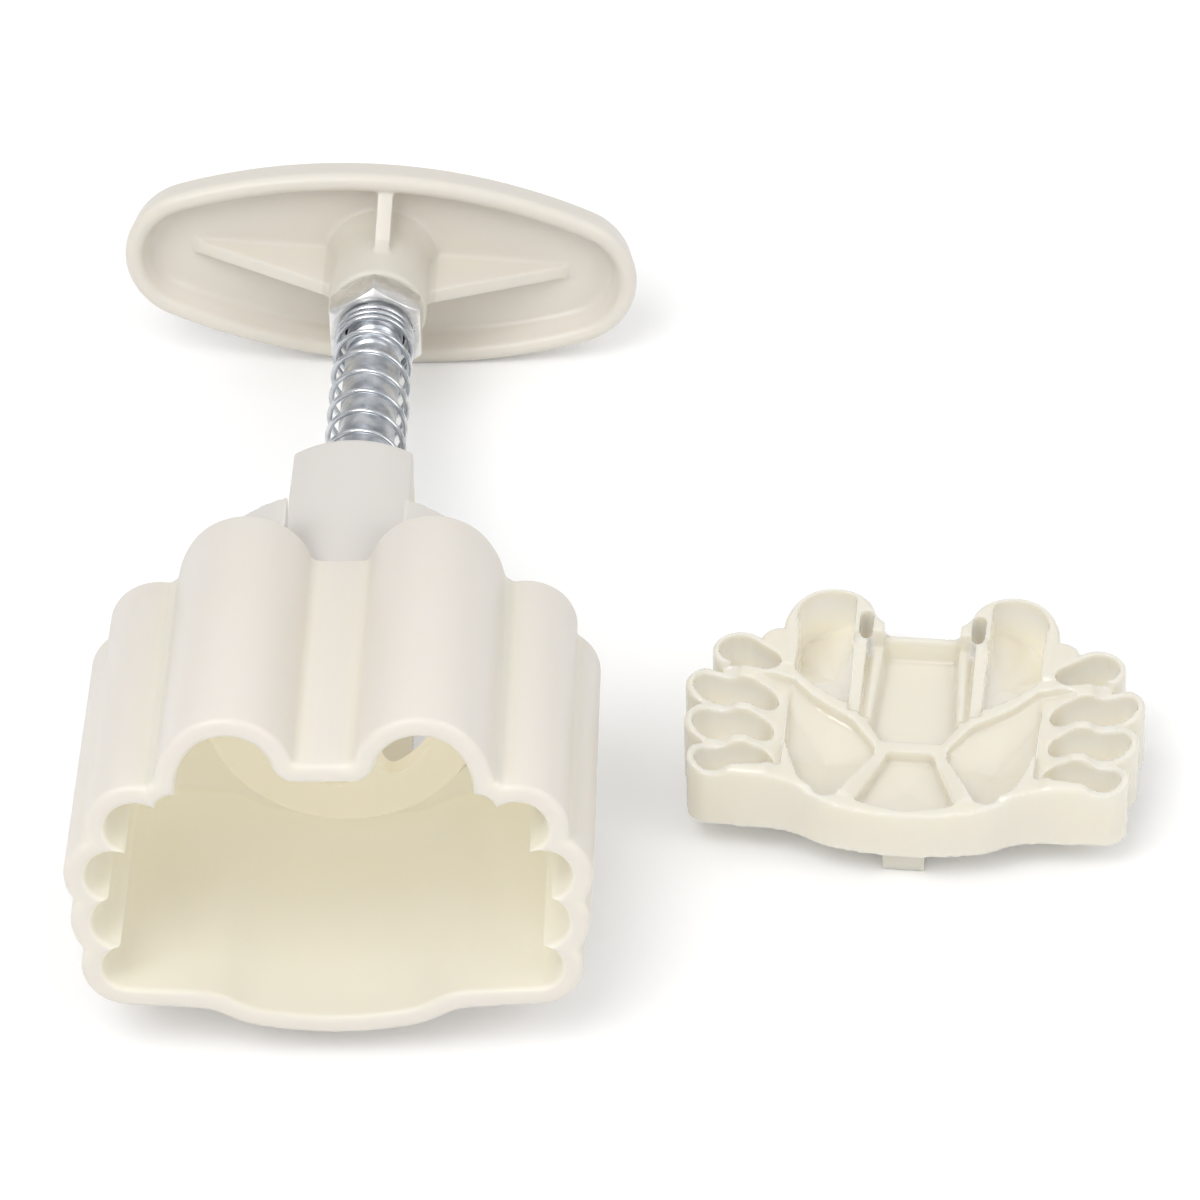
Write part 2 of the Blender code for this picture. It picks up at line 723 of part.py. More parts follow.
def make_rod(parent):
    """Steel rod from the foot's sleeve into the handle's boss, bored for the screw."""
    start = FOOT_Z + pocket_depth() + WEB_T + GAP
    end = NUT_Z + NUT_H + GAP + BOSS_BORE_DEPTH - GAP
    length = end - start
    bore_r = SCREW_SHANK_R + GAP
    bore_depth = SCREW_LENGTH - WASHER_T - WEB_T + GAP
    chamfer = ROD_R / 8.0
    rod = turned(
        "rod",
        [
            (0.0, bore_depth),
            (bore_r, bore_depth),
            (bore_r, 0.0),
            (ROD_R - chamfer, 0.0),
            (ROD_R, chamfer),
            (ROD_R, length - chamfer),
            (ROD_R - chamfer, length),
            (0.0, length),
        ],
        32,
    )
    return finish(rod, STEEL, parent, (0.0, 0.0, start))


def smooth_step(value):
    value = max(0.0, min(1.0, value))
    return value * value * (3.0 - 2.0 * value)


def spring_points():
    """Centre line of the spring: open turns, with closed turns at its two ends."""
    low = WIRE_R
    high = NUT_Z - GAP - (BRIDGE_Z + GAP) - WIRE_R
    steps = round(SPRING_TURNS * POINTS_PER_TURN)
    weights = []
    for k in range(steps):
        turn = (k + 0.5) / POINTS_PER_TURN
        opening = smooth_step(turn - SPRING_LOW_TURNS + 0.5)
        closing = smooth_step(SPRING_TURNS - turn - SPRING_HIGH_TURNS + 0.5)
        weights.append(opening * closing)
    base = SPRING_END_PITCH / POINTS_PER_TURN
    extra = (high - low - base * steps) / sum(weights)
    points = []
    z = low
    for k in range(steps + 1):
        angle = SPRING_START + 2.0 * math.pi * k / POINTS_PER_TURN
        points.append(Vector((SPRING_R * math.sin(angle), SPRING_R * math.cos(angle), z)))
        if k < steps:
            z += base + extra * weights[k]
    return points


def least_gap(points):
    """Smallest gap between one turn and the next, measured between the points' segments."""
    gap = 1.0
    for k in range(len(points) - POINTS_PER_TURN):
        for j in range(k + POINTS_PER_TURN - 1, min(k + POINTS_PER_TURN + 2, len(points))):
            gap = min(gap, (points[k] - points[j]).length - 2.0 * WIRE_R)
    return gap


def make_spring(parent):
    points = spring_points()
    print("least gap of the spring to itself, mm:", round(1000.0 * least_gap(points), 3))
    curve = bpy.data.curves.new("spring", "CURVE")
    curve.dimensions = "3D"
    curve.bevel_depth = WIRE_R
    curve.bevel_resolution = 1
    curve.use_fill_caps = True
    spline = curve.splines.new("POLY")
    spline.points.add(len(points) - 1)
    for target, point in zip(spline.points, points):
        target.co = (*point, 1.0)
    spring = bpy.data.objects.new("spring", curve)
    bpy.context.collection.objects.link(spring)
    curve.materials.append(material("spring_material", STEEL))
    spring.parent = parent
    spring.location = (0.0, 0.0, BRIDGE_Z + GAP)
    return spring


def make_lock_nut(parent):
    """Hexagon nut with chamfered corners; one corner faces the claws' side."""
    corner = NUT_FLATS / math.sqrt(3.0)
    rings = []
    for z in (0.0, NUT_H):
        ring = []
        for k in range(6):
            angle = math.pi / 2.0 + math.pi / 3.0 * k
            ring.append((corner * math.cos(angle), corner * math.sin(angle), z))
        rings.append(ring)
    nut = loft("lock_nut", rings)
    flat_r = NUT_FLATS / 2.0
    round_off = turned(
        "round_off",
        [
            (0.0, 0.0),
            (flat_r - NUT_CHAMFER / 4.0, 0.0),
            (corner + GAP, NUT_CHAMFER + GAP),
            (corner + GAP, NUT_H - NUT_CHAMFER - GAP),
            (flat_r - NUT_CHAMFER / 4.0, NUT_H),
            (0.0, NUT_H),
        ],
        48,
    )
    combine(nut, round_off, "INTERSECT")
    bore_r = ROD_R + GAP
    bore = turned(
        "nut_bore",
        [(0.0, -NUT_H), (bore_r, -NUT_H), (bore_r, 2.0 * NUT_H), (0.0, 2.0 * NUT_H)],
        32,
    )
    cut(nut, bore)
    return finish(nut, ZINC, parent, (0.0, 0.0, NUT_Z))


def oval_side_radius():
    """Radius of the two long sides that meet the ends without a kink."""
    run = HANDLE_HALF_LENGTH - HANDLE_END_R
    rise = HANDLE_HALF_WIDTH**2 + run**2 - HANDLE_END_R**2
    return rise / (2.0 * (HANDLE_HALF_WIDTH - HANDLE_END_R))


def oval_ring(grow, z, end_steps=8, side_steps=10):
    """Oval of two end arcs and two long side arcs, moved outwards by grow."""
    side_r = oval_side_radius()
    run = HANDLE_HALF_LENGTH - HANDLE_END_R
    drop = side_r - HANDLE_HALF_WIDTH
    meet = math.atan2(drop, run)
    arcs = [
        (run, 0.0, HANDLE_END_R, -meet, meet, end_steps),
        (0.0, -drop, side_r, meet, math.pi - meet, side_steps),
        (-run, 0.0, HANDLE_END_R, math.pi - meet, math.pi + meet, end_steps),
        (0.0, drop, side_r, math.pi + meet, 2.0 * math.pi - meet, side_steps),
    ]
    ring = []
    for cx, cy, radius, start, end, steps in arcs:
        for k in range(steps):
            angle = start + (end - start) * k / steps
            x = cx + (radius + grow) * math.cos(angle)
            y = cy + (radius + grow) * math.sin(angle)
            ring.append((x, y, z))
    return ring


def make_handle(parent):
    """Oval cap, hollow below, with a threaded boss and four ribs."""
    lip = HANDLE_WALL / 2.0
    shoulder = HANDLE_DEPTH - HANDLE_CROWN_R
    rings = []
    for k in range(5):
        angle = math.pi / 2.0 * (1.0 - k / 4.0)
        grow = -HANDLE_DRAFT - HANDLE_CROWN_R * (1.0 - math.cos(angle))
        rings.append(oval_ring(grow, shoulder + HANDLE_CROWN_R * math.sin(angle)))
    for k in range(5):
        angle = math.pi * k / 4.0
        rings.append(oval_ring(-lip + lip * math.cos(angle), lip * (1.0 - math.sin(angle))))
    floor = HANDLE_DEPTH - HANDLE_CROWN_T
    rings.append(oval_ring(-HANDLE_WALL - HANDLE_DRAFT, floor - lip))
    rings.append(oval_ring(-HANDLE_WALL - HANDLE_DRAFT - lip, floor))
    handle = loft("handle", rings)

    boss_end = NUT_Z + NUT_H + GAP - HANDLE_RIM_Z
    boss = turned(
        "boss",
        [
            (0.0, boss_end),
            (BOSS_R - GAP, boss_end),
            (BOSS_R, boss_end + GAP),
            (BOSS_R, floor - 3.0 * BOSS_FLARE),
            (BOSS_R + 0.35 * BOSS_FLARE, floor - 1.2 * BOSS_FLARE),
            (BOSS_R + BOSS_FLARE, floor),
            (BOSS_R + BOSS_FLARE, floor + HANDLE_CROWN_T / 2.0),
            (0.0, floor + HANDLE_CROWN_T / 2.0),
        ],
        40,
    )
    join(handle, boss)
    rib_start = boss_end + RIB_BOSS_DROP
    for turn in (0.0, 180.0):
        rib = rib_solid(math.radians(turn), LONG_RIB_REACH, rib_start, LONG_RIB_SINK, floor)
        join(handle, rib)
    for turn in (90.0, 270.0):
        rib = rib_solid(math.radians(turn), SHORT_RIB_REACH, rib_start, SHORT_RIB_SINK, floor)
        join(handle, rib)
    bore_r = ROD_R + GAP
    bore_top = boss_end + BOSS_BORE_DEPTH
    bore = turned(
        "bore",
        [(0.0, boss_end - GAP), (bore_r, boss_end - GAP), (bore_r, bore_top), (0.0, bore_top)],
        32,
    )
    cut(handle, bore)
    return finish(handle, HANDLE_PLASTIC, parent, (0.0, 0.0, HANDLE_RIM_Z), HANDLE_TURN)


def rib_solid(turn, reach, start, sink, floor):
    """Gusset from the boss out to reach, with its free edge sloping from start to sink."""
    sunk = floor + GAP
    inner = BOSS_R / 2.0
    profile = [(inner, start), (BOSS_R, start), (reach, sink), (reach, sunk), (inner, sunk)]
    half = RIB_T / 2.0
    cos_t = math.cos(turn)
    sin_t = math.sin(turn)
    rings = []
    for side in (-half, half):
        rings.append([(r * cos_t - side * sin_t, r * sin_t + side * cos_t, z) for r, z in profile])
    return loft("rib", rings)


def make_stamp(parent):
    """Crab stamp plate, pattern up, standing on its three clips."""
    base = CLIP_DROP
    top = base + STAMP_H
    rings = [
        crab_ring(-STAMP_PLAY, base, 1.0),
        crab_ring(-STAMP_PLAY, top - STAMP_EDGE, 1.0),
        crab_ring(-STAMP_PLAY - STAMP_EDGE, top, 1.0),
    ]
    stamp = loft("stamp", rings)
    for tool in relief_cutters(base):
        cut(stamp, tool)
    for turn in CLIP_TURNS:
        join(stamp, clip_solid(math.radians(turn)))
    pocket = turned(
        "pocket",
        [
            (0.0, base - GAP),
            (SCREW_POCKET_R, base - GAP),
            (SCREW_POCKET_R, base + SCREW_POCKET_DEPTH),
            (0.0, base + SCREW_POCKET_DEPTH),
        ],
        32,
    )
    cut(stamp, pocket)
    return finish(stamp, STAMP_PLASTIC, parent)


def clip_solid(turn):
    """Hooked tab that grips the rim of the foot from outside."""
    inner = FOOT_R + GAP
    outer = inner + CLIP_T
    hook_top = CLIP_DROP - FOOT_T - GAP
    chamfer = CLIP_HOOK / 2.0
    profile = [
        (inner - CLIP_HOOK, chamfer),
        (inner - CLIP_HOOK + chamfer, 0.0),
        (outer, 0.0),
        (outer, CLIP_DROP + SCREW_POCKET_DEPTH),
        (inner, CLIP_DROP + SCREW_POCKET_DEPTH),
        (inner, hook_top),
        (inner - CLIP_HOOK, hook_top),
    ]
    cos_t = math.cos(turn)
    sin_t = math.sin(turn)
    rings = []
    for side in (-CLIP_WIDTH / 2.0, CLIP_WIDTH / 2.0):
        rings.append([(r * cos_t - side * sin_t, r * sin_t + side * cos_t, z) for r, z in profile])
    return loft("clip", rings)


def relief_cutters(base):
    """Solids that are cut out of the plate to leave the crab's hollow relief."""
    front = BELLY_FRONT_V + FRONT_RIM_DEPTH
    top = base + 2.0 * STAMP_H
    deck_back = DECK[0][0]
    tools = [
        across_cutter("saddle", SADDLE, base, front, CLAW_CORNERS[5][1]),
        across_cutter("front_saddle", FRONT_SADDLE, base, BELLY_FRONT_V, front),
        deck_cutter(base),
        panel_cutter(base),
        front_facet(base),
        box(
            "inner_rib",
            (-RIB_GROOVE_X, RIB_GROOVE_V[0], base + INNER_RIB_H),
            (RIB_GROOVE_X, deck_back, top),
        ),
        box(
            "notch_rim",
            (-NOTCH_RIM_HALF, PANEL_TOP_V - RIM_INSET, base + NOTCH_RIM_H),
            (NOTCH_RIM_HALF, NOTCH_FLOOR_V + RIM_INSET, top),
        ),
    ]
    for side in (-1.0, 1.0):
        tools += side_cutters(side, base)
    return tools


def hollow(name, corners, middle, base):
    """Upright hollow over the corners, its floor folded to one middle point."""
    top = base + 2.0 * STAMP_H
    bm = bmesh.new()
    low = [bm.verts.new((x, v, base + h)) for x, v, h in corners]
    high = [bm.verts.new((x, v, top)) for x, v, _ in corners]
    centre = bm.verts.new((middle[0], middle[1], base + middle[2]))
    for k in range(len(corners)):
        after = (k + 1) % len(corners)
        bm.faces.new((low[k], low[after], centre))
        bm.faces.new((low[k], low[after], high[after], high[k]))
    bm.faces.new(high)
    return make_object(name, bm)


def across_cutter(name, half_profile, base, front, back):
    """Everything above a mirrored profile of x and height, from front to back."""
    wall = WRIST[0]
    high = base + 2.0 * STAMP_H
    half = [(wall, high), (wall, base + STAMP_H)] + [(x, base + h) for x, h in half_profile]
    profile = half + [(-x, z) for x, z in reversed(half)]
    return loft(name, [[(x, v, z) for x, z in profile] for v in (front, back)])


def side_profile_cutter(name, side, half_profile, base, front, back):
    """Everything above a profile of x and height on one side."""
    high = base + 2.0 * STAMP_H
    profile = [(x, base + h) for x, h in half_profile]
    profile = [(profile[0][0], high)] + profile + [(profile[-1][0], high)]
    return loft(name, [[(side * x, v, z) for x, z in profile] for v in (front, back)])


def deck_cutter(base):
    """Lowers the ribs beside the panel towards the shell."""
    high = base + 2.0 * STAMP_H
    profile = [(DECK[0][0], high)] + [(v, base + h) for v, h in DECK] + [(DECK[-1][0], high)]
    return loft("deck", [[(x, v, z) for v, z in profile] for x in (-DECK_HALF, DECK_HALF)])


def panel_cutter(base):
    """Flat sunk panel between the claws."""
    rings = []
    for inset, z in ((0.0, 2.0 * STAMP_H), (0.0, INNER_RIB_H), (PANEL_DRAFT, PANEL_H)):
        bottom = PANEL_BOTTOM_V + inset
        corner = bottom + PANEL_HALF_BOTTOM / 2.0
        right = [
            (PANEL_HALF_TOP - inset, PANEL_TOP_V - inset),
            (PANEL_HALF_BOTTOM - inset, corner),
            (PANEL_HALF_BOTTOM * 0.7 - inset, bottom),
        ]
        ring = right + [(-x, v) for x, v in reversed(right)]
        rings.append([(x, v, base + z) for x, v in ring])
    return loft("panel", rings)


def front_facet(base):
    """Shallow facet in the middle of the shell, along the belly's edge."""
    right = [(x, BELLY_FRONT_V + d, h) for x, d, h in FRONT_FACET]
    belly = (0.0, BELLY_FRONT_V + RIM_INSET + STAMP_PLAY, FRONT_FACET[1][2])
    left = [(-x, v, h) for x, v, h in reversed(right)]
    middle = (0.0, BELLY_FRONT_V + FRONT_FACET_MIDDLE[0], FRONT_FACET_MIDDLE[1])
    return hollow("front_facet", right + [belly] + left, middle, base)


def claw_corners(side):
    """Outline of the claw's hollow: its round back, the rib, the shell and the wrist."""
    radius = CLAW[2] - STAMP_PLAY - RIM_INSET
    start, end = CLAW_ARC
    deep, shallow = CLAW_DEEP_H
    corners = []
    for k in range(9):
        share = k / 8.0
        angle = start + (end - start) * share
        h = deep + (shallow - deep) * smooth_step(2.0 * share - 1.0)
        corners.append((CLAW[0] + radius * math.cos(angle), CLAW[1] + radius * math.sin(angle), h))
    return [(side * x, v, h) for x, v, h in corners + list(CLAW_CORNERS)]


def side_cutters(side, base):
    """Claw, bowl of the shell, eye, groove, leg troughs and wavy ridges of one side."""
    top = base + 2.0 * STAMP_H
    x, v, h = CLAW_MIDDLE
    tools = [hollow("claw", claw_corners(side), (side * x, v, h), base)]
    bowl = [(side * x, v, h) for x, v, h in BOWL_BACK]
    bowl += [(side * x, BELLY_FRONT_V + d, h) for x, d, h in BOWL_FRONT]
    x, d, h = BOWL_MIDDLE
    tools.append(hollow("bowl", bowl, (side * x, BELLY_FRONT_V + d, h), base))

    near = (side * EYE_X, EYE_V[0], EYE_R)
    far = (side * EYE_X, EYE_V[1], EYE_R)
    rings = [tapered_capsule(far, near, 0.0, z, 5) for z in (top, base + EYE_H)]
    tools.append(loft("eye", rings))

    half = RIB_GROOVE_WIDTH / 2.0
    middle = side * RIB_GROOVE_X
    groove_low = (middle - half, RIB_GROOVE_V[0], base + RIB_GROOVE_H)
    tools.append(box("groove", groove_low, (middle + half, RIB_GROOVE_V[1], top)))

    for tip, root in zip(TROUGH_TIPS, TROUGH_ROOTS):
        big = (side * tip[0], tip[1], tip[2])
        small = (side * root[0], root[1], root[2])
        rings = [tapered_capsule(big, small, inset, base + z, 6) for inset, z in TROUGH_STEPS]
        tools.append(loft("trough", rings))
    front = BELLY_FRONT_V + RIM_INSET
    dip = side_profile_cutter("dip", side, RIDGE_DIP, base, front, RIDGE_DIP_BACK_V)
    fall = side_profile_cutter("fall", side, RIDGE_FALL, base, RIDGE_FALL_V[0], RIDGE_FALL_V[1])
    return tools + [dip, fall]


def handle_lowest_v():
    """Reach of the turned oval below the axis when the mold lies on its belly."""
    side_r = oval_side_radius()
    return (side_r - HANDLE_HALF_WIDTH) * math.cos(HANDLE_TURN) - side_r


def lying_pose():
    """Tilt and height of the axis when belly edge and handle rim touch the table."""
    belly_v = BELLY_R - BELLY_V + BARREL_WALL - PLATE_EDGE_R
    belly_z = BARREL_DEPTH - PLATE_EDGE_R
    lip = HANDLE_WALL / 2.0
    rim_v = -handle_lowest_v() - lip
    rim_z = HANDLE_RIM_Z + lip
    run = rim_z - belly_z
    rise = belly_v - rim_v
    tilt = math.atan2(rise, run) - math.asin((lip - PLATE_EDGE_R) / math.hypot(run, rise))
    height = belly_z * math.sin(tilt) + belly_v * math.cos(tilt) + PLATE_EDGE_R
    return tilt, height


def make_empty(name):
    empty = bpy.data.objects.new(name, None)
    bpy.context.collection.objects.link(empty)
    return empty


def bounds(objects):
    depsgraph = bpy.context.evaluated_depsgraph_get()
    depsgraph.update()
    low = [1.0, 1.0, 1.0]
    high = [-1.0, -1.0, -1.0]
    for obj in objects:
        seen = obj.evaluated_get(depsgraph)
        mesh = seen.to_mesh()
        for vert in mesh.vertices:
            point = seen.matrix_world @ vert.co
            for axis in range(3):
                low[axis] = min(low[axis], point[axis])
                high[axis] = max(high[axis], point[axis])
        seen.to_mesh_clear()
    return low, high


def main():
    clear_scene()
    mold = make_empty("mold_frame")
    plate = make_empty("stamp_frame")
    pieces = [
        make_barrel(mold),
        make_foot(mold),
        make_foot_washer(mold),
        make_foot_screw(mold),
        make_rod(mold),
        make_spring(mold),
        make_lock_nut(mold),
        make_handle(mold),
        make_stamp(plate),
    ]
    tilt, height = lying_pose()
    mold.rotation_euler = (-math.pi / 2.0 - tilt, 0.0, 0.0)
    mold.location = (0.0, 0.0, height)
    plate.rotation_euler = (0.0, 0.0, -STAMP_TURN)
    plate.location = (STAMP_X, STAMP_Y, 0.0)
    low, high = bounds(pieces)
    for frame in (mold, plate):
        frame.location.x -= (low[0] + high[0]) / 2.0
        frame.location.y -= (low[1] + high[1]) / 2.0
    bpy.context.view_layer.update()
    print("tilt, degrees:", round(math.degrees(tilt), 4))
    print("mouth centre, m:", [round(c, 6) for c in mold.location])
    print("size, m:", [round(b - a, 5) for a, b in zip(low, high)], "lowest", round(low[2], 6))


main()
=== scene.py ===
import math

import bmesh
import bpy
import numpy as np
from mathutils import Matrix, Vector


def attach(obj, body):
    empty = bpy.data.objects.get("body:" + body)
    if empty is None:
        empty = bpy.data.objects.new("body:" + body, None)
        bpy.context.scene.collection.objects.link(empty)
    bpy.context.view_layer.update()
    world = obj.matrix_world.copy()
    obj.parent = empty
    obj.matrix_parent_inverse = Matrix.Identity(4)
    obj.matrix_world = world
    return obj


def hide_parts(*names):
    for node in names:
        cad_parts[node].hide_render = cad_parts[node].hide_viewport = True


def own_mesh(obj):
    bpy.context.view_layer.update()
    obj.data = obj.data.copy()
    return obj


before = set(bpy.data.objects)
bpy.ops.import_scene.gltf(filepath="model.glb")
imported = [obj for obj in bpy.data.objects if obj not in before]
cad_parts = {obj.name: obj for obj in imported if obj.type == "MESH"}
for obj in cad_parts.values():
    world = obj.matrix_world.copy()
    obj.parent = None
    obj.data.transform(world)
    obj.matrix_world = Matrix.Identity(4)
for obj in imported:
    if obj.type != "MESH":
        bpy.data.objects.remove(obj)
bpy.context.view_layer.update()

# the mold lies on its belly and its handle; the plate lies flat beside it
LEAN = math.radians(5.7182)
MOUTH = Vector((-0.035004, -0.076593, 0.030857))
LAY = Matrix.Translation(MOUTH) @ Matrix.Rotation(-math.pi / 2.0 - LEAN, 4, "X")
PLATE_AT = Vector((0.041296, -0.021593, 0.0))
PLATE = Matrix.Translation(PLATE_AT) @ Matrix.Rotation(-math.radians(5.2), 4, "Z")

# crab outline, circle centre x, centre v towards the claws, radius
NOTCH_V = 0.0138
NOTCH_R = 0.0031
OUTER_NOTCH_R = 0.0038
CLAW = (0.0123, 0.0148, 0.0061)
FLANK_R = 0.0108
FLANK_TURN = math.radians(35.0)
WRIST = (0.0191, 0.00885, 0.0030)
LEGS = (
    (0.02435, 0.00635, 0.0042),
    (0.0274, -0.0011, 0.0041),
    (0.0267, -0.0084, 0.0043),
    (0.0264, -0.0156, 0.0036),
)
WAVE_R = 0.0095
WAVE_TURN = math.radians(33.0)
SHOULDER_R = 0.0114
SHOULDER_TURN = math.radians(11.6)
BELLY_V = 0.0217
BELLY_R = 0.0454
FINE = math.radians(5.0)

# room between neighbours, reach of welded bodies into each other, reach of cuts past a face
# and the distance of a cut from a face that it must not touch
GAP = 0.0003
LAP = 0.0003
OVER = 0.001
OFF = 0.0001

# cup, skirt and bridge
DEPTH = 0.048
WALL = 0.00255
LINING = 0.00025
PLATE_T = 0.0025
RIM_EDGE = 0.0009
TOP_EDGE = 0.0010
SHELF = 0.0015
SKIRT_R = 0.0232
SKIRT_WALL = 0.0023
SILL_Z = 0.0545
SILL_FILLET = 0.0018
BRIDGE_Z = 0.0788
BRIDGE_T = 0.0032
BRIDGE_R = 0.0158
BRIDGE_EDGE = 0.0012
ARM = 0.0162
ARM_RECESS = 0.0004
BACK_ARM = 0.0153
CHEEK_FRONT = 0.0009
CHEEK_BACK = 0.0004
BORE_R = 0.0043
BRIDGE_VOXEL = 0.00032

# plunger
ROD_R = 0.0040
ROD_EDGE = 0.0005
ROD_TIP = 0.0004
THREAD_Z = 0.1222
THREAD_DEPTH = 0.00055
THREAD_PITCH = 0.00125
THREAD_TURNS = 20
FOOT_Z = 0.0374
FOOT_R = 0.0188
FOOT_T = 0.0030
FOOT_EDGE = 0.0005
FOOT_INSET = 0.0010
SLOT_OUTER = 0.0131
SLOT_INNER = 0.0070
SLOT_CORNER = 0.0012
SLOT_TURN = math.radians(14)
SPOKE_HALF = 0.0021
SLEEVE_R = 0.0064
SLEEVE_EDGE = 0.0004
WASHER_R = 0.0053
WASHER_Z = 0.0043
SCREW_R = 0.0027
ROD_SEAT = 0.0083
NUT_Z = 0.1306
NUT_H = 0.0054
NUT_FLATS = 0.0130
NUT_CHAMFER = 0.0009
NUT_FACE_INSET = 0.00015
NUT_EDGE = 0.00012
WIRE_R = 0.0004
COIL_R = 0.0054
COILS = 12.3
FIRST_TURN = math.pi
LOW_COILS = 1.0
HIGH_COILS = 2.6
END_PITCH = 0.0013

# handle
RIM_Z = 0.1480
HALF_LONG = 0.03736
HALF_WIDE = 0.01576
END_R = 0.0108
CAP_DEPTH = 0.0072
CAP_WALL = 0.0027
CAP_DRAFT = 0.0006
CROWN_T = 0.0030
CROWN_R = 0.0025
HANDLE_TURN = math.radians(4.9)
BOSS_R = 0.0071
BOSS_EDGE = 0.0004
BOSS_FLARE = 0.0014
BORE_DEPTH = 0.0153
RIB_T = 0.0022
RIB_FROM = 0.0055
RIB_ROOT = 0.0012
LONG_RIB = (0.0269, 0.0036)
SHORT_RIB = (0.0137, 0.0012)
CAP_VOXEL = 0.00034

# stamp plate: x, v and heights above the lower edge of its wall
STAMP_LOW = 0.00475
STAMP_H = 0.0100
STAMP_INSET = 0.00034
STAMP_TOP_INSET = 0.0008
STAMP_EDGE = 0.0005
STAMP_POCKET_R = 0.0062
STAMP_VOXEL = 0.00028
CLIP_T = 0.0017
CLIP_HALF = 0.00285
CLIP_CATCH = 0.0012
TOOL_H = 0.02
FRONT_V = BELLY_V - BELLY_R
RIM_V = FRONT_V + 0.0036
SHELL_RIM = ((0.0178, 0.0098), (0.0152, 0.0087), (0.0090, 0.0078), (0.0042, 0.0074))
SADDLE_V = 0.0036
SADDLE = ((0.0178, 0.0095), (0.0079, 0.0080), (0.0042, 0.0065))
DECK_HALF = 0.0091
DECK = ((0.0116, 0.0092), (0.0048, 0.0080), (-0.0030, 0.0074))
RIB_X = 0.0070
RIB_V = (-0.0036, 0.0116)
RIB_H = 0.0070
GROOVE_HALF = 0.0004
GROOVE_V = (-0.0036, 0.0114)
GROOVE_H = 0.0064
NOTCH_RIM_V = (0.0113, 0.0149)
NOTCH_RIM_H = 0.0076
PANEL_V = (0.0124, -0.0074)
PANEL_HALF = (0.0052, 0.0060)
PANEL_FOOT = 0.7
PANEL_LEVELS = ((0, TOOL_H), (0, 0.0070), (0.0006, 0.0046))
FACET = ((0.0030, 0.0143, 0.0046), (0.0067, 0.0030, 0.0052))
FACET_TIP = (0.0, 0.0014, 0.0052)
FACET_FLOOR = (0.0086, 0.0042)
EYE = ((0.0077, 0.0150, 0.00092), (0.0077, 0.0121, 0.0009))
EYE_H = 0.0032
CLAW_RIM = 0.0012
CLAW_H = 0.0016
CLAW_RISE = 0.0028
CLAW_FLOOR = (0.0112, 0.0062, 0.0050)
CLAW_ARC = (math.radians(-20.0), math.radians(126.0))
CLAW_SIDE = (
    (0.0093, 0.0120, 0.0060),
    (0.0091, 0.0045, 0.0060),
    (0.0091, -0.0016, 0.0066),
    (0.0112, -0.0007, 0.0068),
    (0.0139, 0.0011, 0.0066),
    (0.0168, 0.0036, 0.0060),
    (0.0166, 0.0080, 0.0040),
)
BOWL_FLOOR = (0.0112, -0.0105, 0.0038)
BOWL = (
    (0.0171, -0.0022, 0.0066),
    (0.0172, 0.0021, 0.0082),
    (0.0139, -0.0013, 0.0074),
    (0.0112, -0.0031, 0.0070),
    (0.0081, -0.0048, 0.0064),
    (0.0050, -0.0084, 0.0054),
    (0.0049, -0.0103, 0.0052),
    (0.0093, -0.0202, 0.0058),
    (0.0117, -0.0207, 0.0062),
    (0.0146, -0.0179, 0.0066),
    (0.0168, -0.0115, 0.0062),
)
TROUGHS = (
    ((0.0245, 0.0063, 0.0028), (0.0206, 0.0044, 0.0019)),
    ((0.0274, -0.0011, 0.0027), (0.0208, -0.0026, 0.0024)),
    ((0.0267, -0.0084, 0.00285), (0.0209, -0.0090, 0.0024)),
    ((0.0264, -0.0155, 0.0022), (0.0203, -0.0150, 0.0022)),
)
TROUGH_STEPS = (
    (0, 0.011),
    (0, 0.0075),
    (0.0002, 0.0060),
    (0.0005, 0.0048),
    (0.0009, 0.0040),
    (0.0014, 0.0034),
)
DIP_V = (FRONT_V + 0.0011, 0.0034)
DIP = (
    (0.0302, 0.0101),
    (0.0287, 0.0095),
    (0.0272, 0.0089),
    (0.0260, 0.0087),
    (0.0249, 0.0090),
    (0.0238, 0.0098),
    (0.0228, 0.0101),
)
FALL_V = (-0.0165, 0.0016)
FALL = ((0.0222, 0.0101), (0.0208, 0.0093), (0.0192, 0.0085), (0.0170, 0.0079))

# where painted light stands in for light through the walls: the grooves, the lobes, the legs, the claws and
# the eyes
GROOVE_REACH = 0.0014
LOBES_X = 0.0225
LOBES_FADE = 0.0030
LEGS_X = 0.0190
LEGS_FADE = 0.0020
CLAWS_X = 0.0084
CLAWS_FADE = 0.0010
CLAWS_SLOPE = (0.0112, 0.5)
CLAWS_V = 0.0008
CLAWS_V_FADE = 0.0012
EYES_X = (0.0064, 0.0090)
EYES_V = 0.0100


# small shaping helpers


def new_piece(name, bm):
    """Makes an object at the origin from a bmesh."""
    mesh = bpy.data.meshes.new(name)
    bm.to_mesh(mesh)
    bm.free()
    piece = bpy.data.objects.new(name, mesh)
    bpy.context.scene.collection.objects.link(piece)
    return piece


def closed_loop(bm, points):
    """A ring of edges through the points."""
    verts = [bm.verts.new(p) for p in points]
    edges = [bm.edges.new((a, b)) for a, b in zip(verts, verts[1:] + verts[:1])]
    return verts, edges


def draw_out(bm, verts, edges, points):
    """Extrudes a loop and moves its new corners to the next ring's places."""
    made = bmesh.ops.extrude_edge_only(bm, edges=edges)["geom"]
    fresh = {tuple(round(c, 8) for c in g.co): g for g in made if isinstance(g, bmesh.types.BMVert)}
    ordered = [fresh[tuple(round(c, 8) for c in v.co)] for v in verts]
    for vert, point in zip(ordered, points):
        vert.co = point
    return ordered, [g for g in made if isinstance(g, bmesh.types.BMEdge)]


